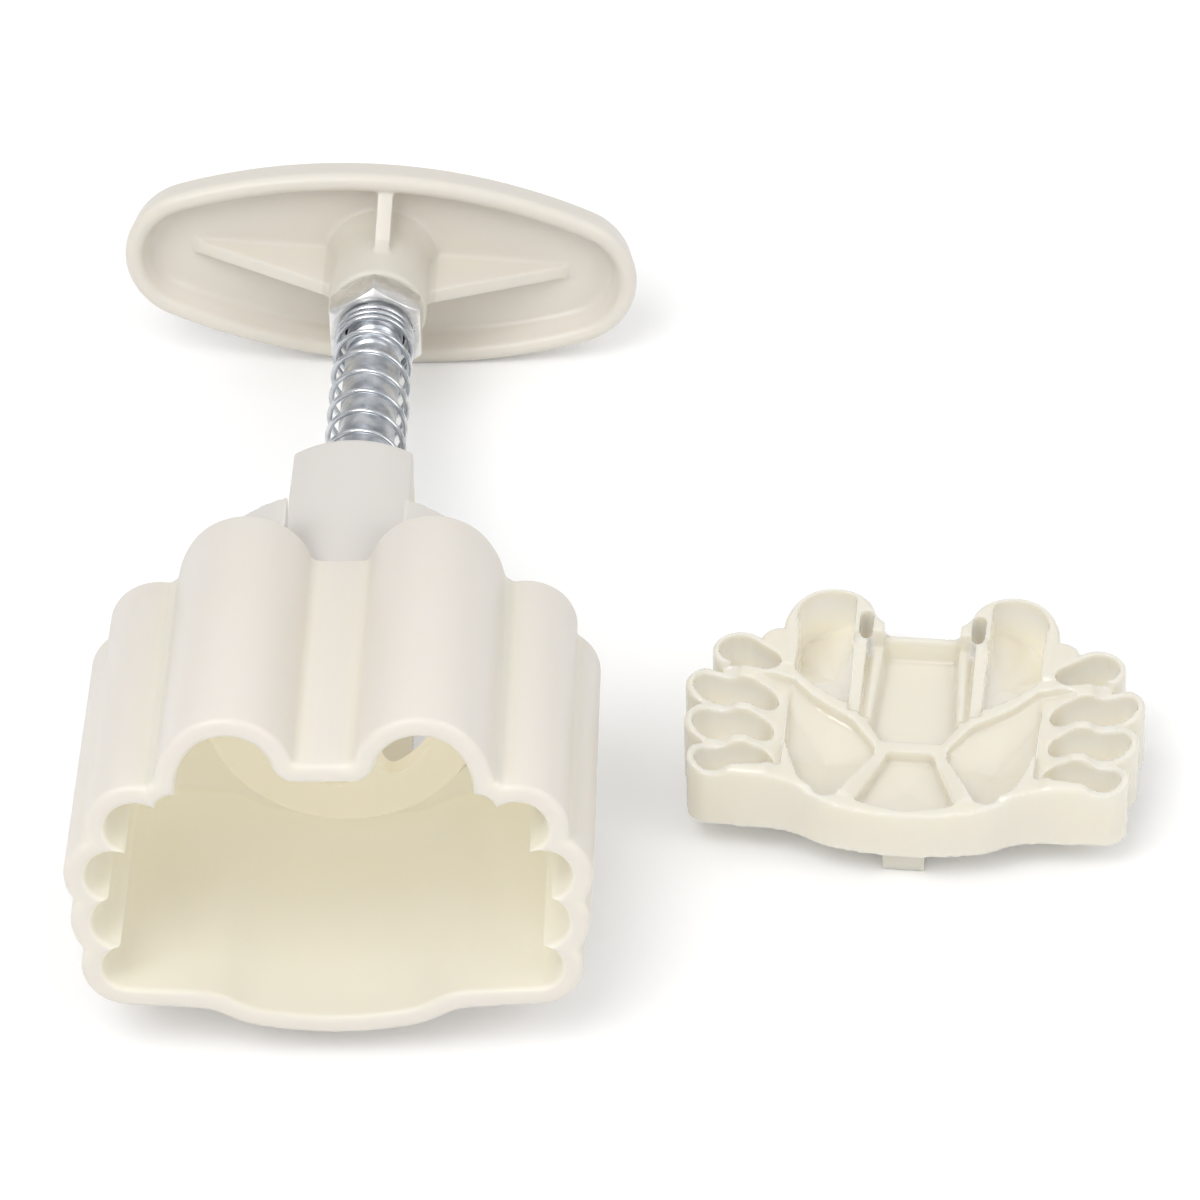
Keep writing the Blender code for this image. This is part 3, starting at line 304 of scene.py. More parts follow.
def drawn_solid(name, rings):
    """A capped body drawn from ring to ring."""
    bm = bmesh.new()
    verts, edges = closed_loop(bm, rings[0])
    bmesh.ops.contextual_create(bm, geom=edges)
    for ring in rings[1:]:
        verts, edges = draw_out(bm, verts, edges, ring)
    bmesh.ops.contextual_create(bm, geom=edges)
    bmesh.ops.recalc_face_normals(bm, faces=bm.faces)
    return new_piece(name, bm)


def spun_solid(name, profile, steps):
    """A turned body; the profile runs from the axis out and back to the axis."""
    bm = bmesh.new()
    verts = [bm.verts.new((r, 0.0, z)) for r, z in profile]
    edges = [bm.edges.new(pair) for pair in zip(verts, verts[1:])]
    bmesh.ops.spin(
        bm,
        geom=verts + edges,
        cent=(0, 0, 0),
        axis=(0, 0, 1),
        angle=2 * math.pi,
        steps=steps,
        use_merge=True,
    )
    bmesh.ops.remove_doubles(bm, verts=bm.verts, dist=1e-6)
    bmesh.ops.recalc_face_normals(bm, faces=bm.faces)
    return new_piece(name, bm)


def plug(name, radius, low, high, steps=64):
    """A plain round body on the axis."""
    return spun_solid(name, [(0, low), (radius, low), (radius, high), (0, high)], steps)


def block(name, low, high):
    """A box from its low corner to its high corner."""
    bm = bmesh.new()
    bmesh.ops.create_cube(bm, size=1.0)
    size = [b - a for a, b in zip(low, high)]
    bmesh.ops.scale(bm, vec=size, verts=bm.verts)
    bmesh.ops.translate(bm, vec=[(a + b) / 2 for a, b in zip(low, high)], verts=bm.verts)
    return new_piece(name, bm)


def rounding(radius, steps):
    """Insets and drops along a rounded edge, from its side to its end face."""
    turns = [math.pi / 2 * k / steps for k in range(steps + 1)]
    return [(radius * (1 - math.cos(a)), radius * (1 - math.sin(a))) for a in turns]


def corners_of(piece):
    """Arrays of x, y and z of a piece's corner points."""
    flat = np.empty(3 * len(piece.data.vertices))
    piece.data.vertices.foreach_get("co", flat)
    x, y, z = flat.reshape(-1, 3).T
    return x, y, z


def mark(piece, name, values):
    """Stores a value from 0 to 1 at each corner point."""
    layer = piece.data.attributes.new(name, "FLOAT", "POINT")
    layer.data.foreach_set("value", np.clip(values, 0.0, 1.0).astype(np.float32))


def fade(values, start, reach):
    """0 up to the start, 1 from the start plus the reach on, and even between."""
    return np.clip((values - start) / reach, 0, 1)


def within(x, v, line):
    """1 for the points that lie inside a closed line, 0 for the others."""
    found = np.zeros(len(x), dtype=bool)
    for (x1, v1), (x2, v2) in zip(line, line[1:] + line[:1]):
        if v1 != v2:
            found ^= ((v1 > v) != (v2 > v)) & (x < (x2 - x1) * (v - v1) / (v2 - v1) + x1)
    return found.astype(float)


def settle(piece):
    """Applies the live modifiers of a piece."""
    graph = bpy.context.evaluated_depsgraph_get()
    graph.update()
    mesh = bpy.data.meshes.new_from_object(piece.evaluated_get(graph))
    piece.modifiers.clear()
    piece.data = mesh


def shape(piece, tool, how):
    """Cuts or joins a piece with a tool, which is used up."""
    mod = piece.modifiers.new("shape", "BOOLEAN")
    mod.operation = how
    mod.solver = "EXACT"
    mod.object = tool
    settle(piece)
    bpy.data.objects.remove(tool, do_unlink=True)


def carve(piece, tool):
    """Takes the tool's body away from a piece."""
    shape(piece, tool, "DIFFERENCE")


def weld(piece, tool):
    """Makes the tool's body part of a piece."""
    shape(piece, tool, "UNION")


def soften(piece, voxel, rounds):
    """Evens the mesh and rounds its edges a little, as moulded plastic is."""
    mod = piece.modifiers.new("even", "REMESH")
    mod.mode = "VOXEL"
    mod.voxel_size = voxel
    mod.adaptivity = 0.0
    mod = piece.modifiers.new("smooth", "SMOOTH")
    mod.factor = 0.5
    mod.iterations = rounds
    settle(piece)


def put(piece, place, body, nodes=(), sharp=35.0):
    """Cleans a piece, lays it in place and ties it to its body."""
    bm = bmesh.new()
    bm.from_mesh(piece.data)
    bmesh.ops.remove_doubles(bm, verts=bm.verts, dist=2e-6)
    bm.transform(place)
    bmesh.ops.recalc_face_normals(bm, faces=bm.faces)
    bm.to_mesh(piece.data)
    bm.free()
    piece.data.shade_smooth()
    piece.data.set_sharp_from_angle(angle=math.radians(sharp))
    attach(piece, body)
    if nodes:
        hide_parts(*nodes)
    return piece


# crab outline


def outline_circles(notch_r=NOTCH_R):
    """Circles along half the outline: side, centre x, centre v, radius and how the next one follows."""
    corner_v = NOTCH_V + notch_r
    reach = notch_r + CLAW[2]
    corner_x = CLAW[0] - math.sqrt(reach**2 - (CLAW[1] - corner_v) ** 2)
    back = FLANK_R - CLAW[2]
    flank = (CLAW[0] - back * math.cos(FLANK_TURN), CLAW[1] - back * math.sin(FLANK_TURN), FLANK_R)
    inner = BELLY_R - SHOULDER_R
    shoulder = (inner * math.sin(SHOULDER_TURN), BELLY_V - inner * math.cos(SHOULDER_TURN), SHOULDER_R)
    out = SHOULDER_R + WAVE_R
    wave = (shoulder[0] + out * math.sin(WAVE_TURN), shoulder[1] - out * math.cos(WAVE_TURN), WAVE_R)
    row = [(-1, corner_x, corner_v, notch_r, "tangent"), (1, *CLAW, "tangent"), (1, *flank, "cusp")]
    row.append((1, *WRIST, "cusp"))
    row += [(1, *leg, "cusp") for leg in LEGS[:3]]
    row.append((1, *LEGS[3], "line"))
    row.append((-1, *wave, "tangent"))
    row.append((1, *shoulder, "tangent"))
    row.append((1, 0.0, BELLY_V, BELLY_R, "end"))
    return row


def meeting(first, second, grow):
    """Angles on two neighbouring circles where one hands over to the other."""
    side, x1, v1, r1, how = first
    dx = second[1] - x1
    dv = second[2] - v1
    span = math.hypot(dx, dv)
    if how == "cusp":
        near = r1 + side * grow
        far = second[3] + second[0] * grow
        along = (span**2 + near**2 - far**2) / (2 * span)
        across = math.sqrt(max(0.0, near**2 - along**2))
        x = x1 + (along * dx - across * dv) / span
        v = v1 + (along * dv + across * dx) / span
        return math.atan2(v - v1, x - x1), math.atan2(v - second[2], x - second[1])
    ratio = (side * r1 - second[0] * second[3]) / span
    angle = math.atan2(dv, dx) + math.acos(max(-1.0, min(1.0, ratio)))
    return angle, angle


def swept(side, start, end):
    """Signed turn of an arc: clockwise on a bulge, anticlockwise in a hollow."""
    turn = (end - start) % (2 * math.pi)
    return turn - 2 * math.pi if side > 0 else turn


def crab(grow, notch_r=NOTCH_R):
    """Outline of the crab, moved outwards by grow; the same count of points each time."""
    circles = outline_circles(notch_r)
    base = outline_circles()
    half = []
    start = plain = math.pi / 2
    for index, (side, x, v, r, how) in enumerate(circles):
        if how == "end":
            end = after = plain_end = plain_after = -math.pi / 2
        else:
            end, after = meeting(circles[index], circles[index + 1], grow)
            plain_end, plain_after = meeting(base[index], base[index + 1], 0.0)
        sweep = swept(side, start, end)
        count = max(3, round(abs(swept(side, plain, plain_end)) / FINE))
        last = count + 1 if how in ("line", "end") else count
        radius = r + side * grow
        for k in range(last):
            angle = start + sweep * k / count
            half.append((x + side * radius * math.cos(angle), v + side * radius * math.sin(angle)))
        start = after
        plain = plain_after
    return half + [(-x, v) for x, v in reversed(half[:-1])]


def grooves():
    """Where the grooves between the outside's round columns lie, on one side."""
    row = outline_circles()
    spots = [(row[0][1], NOTCH_V + WALL)]
    for first, second in zip(row[2:7], row[3:8]):
        angle = meeting(first, second, WALL)[0]
        reach = first[3] + WALL
        spots.append((first[1] + reach * math.cos(angle), first[2] + reach * math.sin(angle)))
    return spots


def filled(ring, rounds=5):
    """Fills the outside's sharp grooves with small fillets, with the same count of points."""
    row = [Vector(p) for p in ring]
    for _ in range(rounds):
        fresh = []
        for before, here, after in zip(row[-1:] + row[:-1], row, row[1:] + row[:1]):
            middle = (before + after) / 2
            turn = (here - before).xy.cross((after - here).xy)
            fresh.append(here.lerp(middle, 0.5) if turn < 0 else here)
        row = fresh
    return [tuple(p) for p in row]


def crab_ring(grow, z, flip=-1.0):
    """The outline as a ring at one height; the plate lies the other way round."""
    return [(x, flip * v, z) for x, v in crab(grow)]


def outer_ring(grow, z):
    """Outline of the cup's outside, with its softer corners in the notch."""
    return filled([(x, -v, z) for x, v in crab(grow, OUTER_NOTCH_R)])


def notched_circle(inset, radius, z, scale=1.0):
    """A circle with the crab's notch cut into its claw side."""
    half = []
    for x, v in crab(-inset):
        if math.hypot(x, v) >= radius:
            break
        half.append((x, v))
    start = math.atan2(half[-1][1], half[-1][0])
    count = round((start + math.pi / 2) / math.radians(3.0))
    for k in range(1, count + 1):
        angle = start - (start + math.pi / 2) * k / count
        half.append((radius * math.cos(angle), radius * math.sin(angle)))
    ring = half + [(-x, v) for x, v in reversed(half[:-1])]
    return [(x * scale, -v * scale, z) for x, v in ring]


# mold: z runs from the mouth along the rod, y away from the claws


def make_cup():
    """The crab cup with its flat rim and the top plate."""
    rings = []
    for inset, drop in reversed(rounding(TOP_EDGE, 4)):
        rings.append(outer_ring(WALL - inset, DEPTH - drop))
    for inset, drop in rounding(RIM_EDGE, 5):
        rings.append(outer_ring(WALL - inset, drop))
    for inset, drop in rounding(RIM_EDGE, 5):
        rings.append(crab_ring(drop - LINING, inset))
    ceiling = DEPTH - PLATE_T
    for inset, drop in rounding(TOP_EDGE, 3):
        rings.append(crab_ring(-LINING - inset, ceiling - drop))
    cup = drawn_solid("barrel_cup", rings)
    carve(cup, opening_tool())
    paint_cup_light(cup, ceiling)
    return cup


def paint_cup_light(cup, ceiling):
    """Marks the lining and the outer grooves for painted light: a warmer painted tone there, and a painted
    glow that grows towards the top plate and is stronger in the leg lobes and the grooves.
    """
    x, y, z = corners_of(cup)
    inner = within(x, -y, crab(0.0003)) * (z < ceiling + 0.0002)
    outer = within(x, -y, crab(WALL - 0.0012)) == 0
    groove = np.zeros(len(x))
    for groove_x, groove_v in grooves():
        away = np.hypot(abs(x) - groove_x, -y - groove_v)
        groove = np.maximum(groove, outer * np.exp(-((away / GROOVE_REACH) ** 2)))
    lobe = fade(abs(x), LOBES_X, LOBES_FADE)
    mark(cup, "inside", 0.8 * np.maximum(inner, groove))
    mark(cup, "deep", inner * (z / ceiling + 0.3 * lobe * (1 - z / ceiling)) + 0.18 * groove)


def opening_tool():
    """Hole of the top plate, kept to the inside of the skirt and of the front arm."""
    low = DEPTH - PLATE_T - 2 * OVER
    high = DEPTH + OVER / 2
    rings = [notched_circle(SHELF, SKIRT_R - SKIRT_WALL, z) for z in (low, high)]
    tool = drawn_solid("opening", rings)
    half = ARM / 2 + SKIRT_WALL + GAP
    arm_r = BRIDGE_R - SKIRT_WALL
    back = math.sqrt(arm_r**2 - half**2)
    carve(tool, block("shelf", (-half, -SKIRT_R, low - OVER), (half, -back, high + OVER)))
    weld(tool, plug("core", arm_r - GAP, low, high, 96))
    return tool


def window_tool(side):
    """Room beside the arms, from the sill up; the back arm is narrower than the front one."""
    top = BRIDGE_Z + 4 * OVER
    outer = SKIRT_R + 3 * OVER
    front = ARM / 2
    back = BACK_ARM / 2
    rings = []
    for y, inner in ((-outer, front), (-OVER, front), (OVER, back), (outer, back)):
        profile = [(outer, top), (inner, top), (inner, BRIDGE_Z)]
        for inset, drop in rounding(SILL_FILLET, 8):
            profile.append((inner + GAP + inset, SILL_Z + drop))
        profile.append((outer, SILL_Z))
        rings.append([(side * x, y, z) for x, z in profile])
    return drawn_solid("window", rings)


def front_arm(half, low):
    """Upright strip of a round shell, flush with the notch between the claws."""
    inner = BRIDGE_R - SKIRT_WALL
    levels = [(low, 0)]
    levels += [(BRIDGE_Z - drop, inset) for inset, drop in rounding(BRIDGE_EDGE, 5)]
    rings = []
    for z, inset in levels:
        ring = []
        for r, turn in ((BRIDGE_R - inset, 1), (inner, -1)):
            reach = math.asin(half / r)
            for k in range(25):
                angle = turn * reach * (k / 12 - 1)
                ring.append((r * math.sin(angle), -r * math.cos(angle), z))
        rings.append(ring)
    return drawn_solid("front_arm", rings)


def make_bridge():
    """Round skirt, leaning back arm and bridge, with the front arm upright in its recess."""
    low = DEPTH - PLATE_T
    top = BRIDGE_Z + 4 * OVER
    under = BRIDGE_Z - BRIDGE_T
    lean = (SKIRT_R - BRIDGE_R) / (BRIDGE_Z - SILL_Z)
    outside = [(0, low), (SKIRT_R, low), (SKIRT_R, SILL_Z)]
    for k, (inset, drop) in enumerate(rounding(BRIDGE_EDGE, 6)):
        outside.append((BRIDGE_R - inset + lean * BRIDGE_EDGE * (1 - k / 6), BRIDGE_Z - drop))
    outside.append((0, BRIDGE_Z))
    bridge = spun_solid("barrel_bridge", outside, 128)
    inner = SKIRT_R - SKIRT_WALL
    room = [(0, DEPTH), (inner, DEPTH), (inner, SILL_Z - SILL_FILLET), (inner + OVER, SILL_Z)]
    room += [(BRIDGE_R + lean * BRIDGE_T - SKIRT_WALL, under), (0, under)]
    carve(bridge, spun_solid("room", room, 128))
    half = ARM / 2
    recess = block("recess", (-half - GAP, -SKIRT_R - 2 * OVER, low - OVER), (half + GAP, 0, top))
    core = BRIDGE_R - SKIRT_WALL / 2
    carve(recess, plug("column", core, low - 2 * OVER, top + OVER, 96))
    carve(bridge, recess)
    weld(bridge, front_arm(half + SKIRT_WALL / 2, low - LAP))
    for side in (-1, 1):
        weld(bridge, cheek(side, core, low))
    carve(bridge, opening_tool())
    for side in (-1, 1):
        carve(bridge, window_tool(side))
    wide = SKIRT_R + 3 * OVER
    sill = block("front_sill", (-wide, -wide, SILL_Z - OFF), (wide, -BRIDGE_R - ARM_RECESS, top))
    carve(bridge, sill)
    carve(bridge, plug("bore", BORE_R, under - 3 * OVER, top))
    soften(bridge, BRIDGE_VOXEL, 4)
    # painted light inside the room under the bridge: a painted tone and a painted glow
    x, y, z = corners_of(bridge)
    skin = np.minimum(SKIRT_R, BRIDGE_R + lean * (BRIDGE_Z - z))
    skin = np.where((y < 0) & (abs(x) < half + SKIRT_WALL), BRIDGE_R, skin)
    inside = (np.hypot(x, y) < skin - SKIRT_WALL / 2) & (z < BRIDGE_Z - BRIDGE_T / 2)
    mark(bridge, "inside", 0.75 * inside)
    mark(bridge, "deep", 1.0 * inside)
    return bridge


def cheek(side, core, low):
    """Wall beside the front arm, cut round by the skirt; the left one reaches further in."""
    half = ARM / 2
    far = half + SKIRT_WALL
    back = math.sqrt(core**2 - far**2)
    near = (half - CHEEK_FRONT, half - CHEEK_BACK) if side < 0 else (half, half)
    corners = ((far, -SKIRT_R), (near[0], -SKIRT_R), (near[1], -back), (far, -back))
    levels = (low - 0.0005, SILL_Z + LAP)
    wall = drawn_solid("cheek", [[(side * x, y, z) for x, y in corners] for z in levels])
    shape(wall, plug("drum", SKIRT_R - OFF, 0, SILL_Z - OFF, 128), "INTERSECT")
    return wall


def slot_tool(middle):
    """Curved slot of the foot with small round corners."""
    half = math.pi / 4 - math.asin(2 * SPOKE_HALF / (SLOT_OUTER + SLOT_INNER))
    outer_r = SLOT_OUTER - SLOT_CORNER
    inner_r = SLOT_INNER + SLOT_CORNER
    far = half - math.asin(SLOT_CORNER / outer_r)
    near = half - math.asin(SLOT_CORNER / inner_r)
    side = half + math.pi / 2
    ring = []
    for r, angle, start, stop in (
        (outer_r, -far, -side, -far),
        (outer_r, far, far, side),
        (inner_r, near, side, near + math.pi),
        (inner_r, -near, -near - math.pi, -side),
    ):
        for k in range(7):
            turn = middle + start + (stop - start) * k / 6
            x = r * math.cos(middle + angle) + SLOT_CORNER * math.cos(turn)
            ring.append((x, r * math.sin(middle + angle) + SLOT_CORNER * math.sin(turn)))
        if angle == -far:
            ring += between(SLOT_OUTER, middle, far)
        if angle == near:
            ring += between(SLOT_INNER, middle, -near)
    return drawn_solid("slot", [[(x, -v, z) for x, v in ring] for z in (-FOOT_T, 2 * FOOT_T)])


def between(radius, middle, reach, steps=12):
    """Points along an arc, without its two ends."""
    angles = [middle + reach * (2 * k / steps - 1) for k in range(1, steps)]
    return [(radius * math.cos(a), radius * math.sin(a)) for a in angles]


def make_foot():
    """Foot plate with its notch, four curved slots and the sleeve for the rod."""
    rings = []
    for inset, drop in reversed(rounding(FOOT_EDGE, 3)):
        rings.append(notched_circle(FOOT_INSET, FOOT_R, drop, 1 - inset / FOOT_R))
    rings.append(notched_circle(FOOT_INSET, FOOT_R, FOOT_T))
    foot = drawn_solid("foot_plate", rings)
    low = FOOT_T / 2
    top = BRIDGE_Z - BRIDGE_T - GAP - FOOT_Z
    sleeve = [(0, low), (SLEEVE_R, low), (SLEEVE_R, top - SLEEVE_EDGE)]
    sleeve += [(SLEEVE_R - SLEEVE_EDGE, top), (0, top)]
    weld(foot, spun_solid("sleeve", sleeve, 72))
    for k in range(4):
        carve(foot, slot_tool(math.pi / 2 * (k + 0.5) - math.pi / 2 + SLOT_TURN))
    carve(foot, plug("pocket", WASHER_R, -OVER, WASHER_Z))
    low = WASHER_Z - GAP
    hole = [(0, low), (SCREW_R, low), (SCREW_R, ROD_SEAT), (BORE_R, ROD_SEAT)]
    hole += [(BORE_R, top + OVER), (0, top + OVER)]
    carve(foot, spun_solid("hole", hole, 48))
    # painted light on the foot: a painted tone over all of it and a painted glow, full on the plate and
    # weaker on the sleeve
    z = corners_of(foot)[2]
    mark(foot, "inside", np.full(len(z), 0.75))
    mark(foot, "deep", np.where(z < FOOT_T + FOOT_EDGE, 1.0, 0.3))
    return foot


def make_rod():
    """Plain part of the rod and the core of its thread."""
    start = FOOT_Z + ROD_SEAT + GAP
    end = NUT_Z + NUT_H + BORE_DEPTH
    root = ROD_R - THREAD_DEPTH
    profile = [(0, start), (ROD_R - ROD_EDGE, start), (ROD_R, start + ROD_EDGE), (ROD_R, THREAD_Z)]
    profile += [(root, THREAD_Z + ROD_EDGE), (root, end - ROD_TIP), (root - ROD_TIP, end), (0, end)]
    return spun_solid("rod_bar", profile, 96)


def make_thread():
    """Helical ridge from just below the nut up into the boss."""
    low = THREAD_Z + GAP
    per = 48
    root = ROD_R - THREAD_DEPTH - 0.00005
    crest = ROD_R - 0.00002
    foot = 0.48 * THREAD_PITCH
    tip = 0.07 * THREAD_PITCH
    bm = bmesh.new()
    profile = [(root, -foot), (crest, -tip), (crest, tip), (root, foot)]
    verts = [bm.verts.new((r, 0, low + z)) for r, z in profile]
    face = bm.faces.new(verts)
    bmesh.ops.spin(
        bm,
        geom=[face] + verts + list(face.edges),
        cent=(0, 0, 0),
        axis=(0, 0, 1),
        dvec=(0, 0, THREAD_PITCH / per),
        angle=2 * math.pi * THREAD_TURNS,
        steps=THREAD_TURNS * per,
    )
    bmesh.ops.recalc_face_normals(bm, faces=bm.faces)
    return new_piece("rod_thread", bm)


def eased(value):
    """Runs from 0 to 1 with a soft start and end."""
    value = max(0.0, min(1.0, value))
    return value * value * (3 - 2 * value)


def make_spring():
    """Wire of the spring, wound finer on the same curve as the solid."""
    fine = 40
    low = WIRE_R
    high = NUT_Z - BRIDGE_Z - 2 * GAP - WIRE_R
    steps = round(COILS * fine)
    weights = []
    for k in range(steps):
        turn = (k + 0.5) / fine
        weights.append(eased(turn - LOW_COILS + 0.5) * eased(COILS - turn - HIGH_COILS + 0.5))
    base = END_PITCH / fine
    extra = (high - low - base * steps) / sum(weights)
    curve = bpy.data.curves.new("spring_wire", "CURVE")
    curve.dimensions = "3D"
    curve.bevel_depth = WIRE_R
    curve.bevel_resolution = 4
    curve.use_fill_caps = True
    spline = curve.splines.new("POLY")
    spline.points.add(steps)
    z = BRIDGE_Z + GAP + low
    for k in range(steps + 1):
        angle = FIRST_TURN + 2 * math.pi * k / fine
        spline.points[k].co = (COIL_R * math.sin(angle), COIL_R * math.cos(angle), z, 1)
        if k < steps:
            z += base + extra * weights[k]
    wire = bpy.data.objects.new("spring_wire", curve)
    bpy.context.scene.collection.objects.link(wire)
    graph = bpy.context.evaluated_depsgraph_get()
    graph.update()
    mesh = bpy.data.meshes.new_from_object(wire.evaluated_get(graph))
    bpy.data.objects.remove(wire, do_unlink=True)
    piece = bpy.data.objects.new("spring_wire", mesh)
    bpy.context.scene.collection.objects.link(piece)
    return piece


def make_nut():
    """Hexagon with both ends chamfered round, bored and with its edges broken."""
    corner = NUT_FLATS / math.sqrt(3)
    angles = [math.pi / 2 + math.pi / 3 * k for k in range(6)]
    ends = (-OVER, NUT_H + OVER)
    rings = [[(corner * math.cos(a), corner * math.sin(a), z) for a in angles] for z in ends]
    nut = drawn_solid("nut_hex", rings)
    flat = NUT_FLATS / 2 - NUT_FACE_INSET
    side = corner + GAP
    cone = [(0, 0), (flat, 0), (side, NUT_CHAMFER), (side, NUT_H - NUT_CHAMFER), (flat, NUT_H), (0, NUT_H)]
    shape(nut, spun_solid("cone", cone, 128), "INTERSECT")
    carve(nut, plug("nut_bore", BORE_R, *ends))
    mod = nut.modifiers.new("edge", "BEVEL")
    mod.width = NUT_EDGE
    mod.segments = 2
    mod.limit_method = "ANGLE"
    mod.angle_limit = math.radians(28)
    settle(nut)
    return nut


def oval(grow, z):
    """The handle's outline of four arcs, moved outwards by grow."""
    run = HALF_LONG - END_R
    side_r = (HALF_WIDE**2 + run**2 - END_R**2) / (2 * (HALF_WIDE - END_R))
    drop = side_r - HALF_WIDE
    meet = math.atan2(drop, run)
    ring = []
    for cx, cy, r, start, stop, steps in (
        (run, 0, END_R, -meet, meet, 28),
        (0, -drop, side_r, meet, math.pi - meet, 40),
        (-run, 0, END_R, math.pi - meet, math.pi + meet, 28),
        (0, drop, side_r, math.pi + meet, 2 * math.pi - meet, 40),
    ):
        for k in range(steps):
            angle = start + (stop - start) * k / steps
            ring.append((cx + (r + grow) * math.cos(angle), cy + (r + grow) * math.sin(angle), z))
    return ring


def make_handle():
    """Oval cap with its lip, boss and four ribs."""
    lip = CAP_WALL / 2
    rings = []
    for inset, drop in reversed(rounding(CROWN_R, 8)):
        rings.append(oval(-CAP_DRAFT - inset, CAP_DEPTH - drop))
    for k in range(11):
        angle = math.pi * k / 10
        rings.append(oval(-lip + lip * math.cos(angle), lip * (1 - math.sin(angle))))
    floor = CAP_DEPTH - CROWN_T
    for inset, drop in rounding(lip, 5):
        rings.append(oval(-CAP_WALL - CAP_DRAFT - inset, floor - drop))
    cap = drawn_solid("handle_cap", rings)
    boss_end = NUT_Z + NUT_H + GAP - RIM_Z
    flare_z = floor - 3 * BOSS_FLARE
    profile = [(0, boss_end), (BOSS_R - BOSS_EDGE, boss_end)]
    profile += [(BOSS_R, boss_end + BOSS_EDGE), (BOSS_R, flare_z)]
    for k in range(1, 7):
        share = k / 6
        profile.append((BOSS_R + BOSS_FLARE * share**2, flare_z + 3 * BOSS_FLARE * share))
    profile += [(BOSS_R + BOSS_FLARE, floor + OVER), (0, floor + OVER)]
    weld(cap, spun_solid("boss", profile, 96))
    for turn in range(4):
        reach, sink = SHORT_RIB if turn % 2 else LONG_RIB
        weld(cap, rib(math.pi / 2 * turn, reach, boss_end + RIB_FROM, sink, floor + LAP))
    carve(cap, plug("cap_bore", BORE_R, boss_end - OVER, boss_end + BORE_DEPTH))
    soften(cap, CAP_VOXEL, 4)
    # painted shade on the boss below the cap's floor: its tone turns to the darker painted light tone
    x, y, z = corners_of(cap)
    mark(cap, "inside", 0.8 * (np.hypot(x, y) < BOSS_R + 0.0012) * (z < floor - 0.0005))
    return cap


def rib(turn, reach, start, sink, top):
    """Upright web from the boss outwards, its lower edge rising to its outer end."""
    near = BOSS_R / 2
    profile = [(near, start), (BOSS_R, start), (reach, sink), (reach + RIB_ROOT, top), (near, top)]
    return drawn_solid("rib", upright(profile, turn, RIB_T / 2))


def upright(profile, turn, half):
    """The two faces of a plate that stands on the axis plane, turned about the axis."""
    c, s = math.cos(turn), math.sin(turn)
    return [[(r * c - y * s, r * s + y * c, z) for r, z in profile] for y in (-half, half)]


# stamp plate


def capsule(big, small, inset, z, steps=24):
    """Two circles and the tangents between them, as one ring."""
    dx = small[0] - big[0]
    dy = small[1] - big[1]
    heading = math.atan2(dy, dx)
    lean = math.acos((big[2] - small[2]) / math.hypot(dx, dy))
    ring = []
    for (x, y, r), start, sweep in ((big, lean, 2 * math.pi - 2 * lean), (small, -lean, 2 * lean)):
        for k in range(steps + 1):
            angle = heading + start + sweep * k / steps
            ring.append((x + (r - inset) * math.cos(angle), y + (r - inset) * math.sin(angle), z))
    return ring


def make_stamp():
    """The plate with the crab's relief on top, its three clips and the pocket below."""
    low = STAMP_LOW
    top = low + STAMP_H
    rings = [crab_ring(-STAMP_INSET, z, 1) for z in (low, top - STAMP_EDGE)]
    rings.append(crab_ring(-STAMP_TOP_INSET, top, 1))
    plate = drawn_solid("stamp_plate", rings)
    for tool in relief_tools(low):
        carve(plate, tool)
    for turn in (-90, 30, 150):
        weld(plate, clip(math.radians(turn)))
    carve(plate, plug("pocket", STAMP_POCKET_R, low - OVER, low + OVER))
    soften(plate, STAMP_VOXEL, 3)
    paint_stamp_light(plate, low, top)
    return plate


def paint_stamp_light(plate, low, top):
    """Marks the hollows of the claws, legs and eyes for painted light: a greyer painted tone up their walls
    and a painted glow that grows with depth.
    """
    x, v, z = corners_of(plate)
    side = abs(x)
    start, slope = CLAWS_SLOPE
    legs = fade(side, LEGS_X, LEGS_FADE)
    claws = fade(side, CLAWS_X, CLAWS_FADE) * fade(v - slope * (side - start), CLAWS_V, CLAWS_V_FADE)
    eyes = (side > EYES_X[0]) & (side < EYES_X[1]) & (v > EYES_V)
    hollows = np.maximum(np.maximum(legs, claws), eyes)
    cut = within(x, v, crab(-0.00075)) * hollows * (z > low + 0.0008)
    mark(plate, "inside", 0.8 * cut * fade(top - z, 0.0004, 0.0015) * fade(z - low, 0.0040, 0.0030))
    mark(plate, "deep", cut * (top - z) / 0.0060)


def clip(turn):
    """Catch that snaps under the foot's edge."""
    inner = FOOT_R + GAP
    outer = inner + CLIP_T
    catch = inner - CLIP_CATCH
    hook = STAMP_LOW - FOOT_T - GAP
    top = STAMP_LOW + OVER
    profile = [(catch, 2 * GAP), (catch + 2 * GAP, 1e-5), (outer, 1e-5), (outer, top)]
    profile += [(inner, top), (inner, hook), (catch, hook)]
    return drawn_solid("clip", upright(profile, turn, CLIP_HALF))


def mirrored(side, point):
    """A point of the right half, or its mirror image for side -1."""
    return (side * point[0], *point[1:])


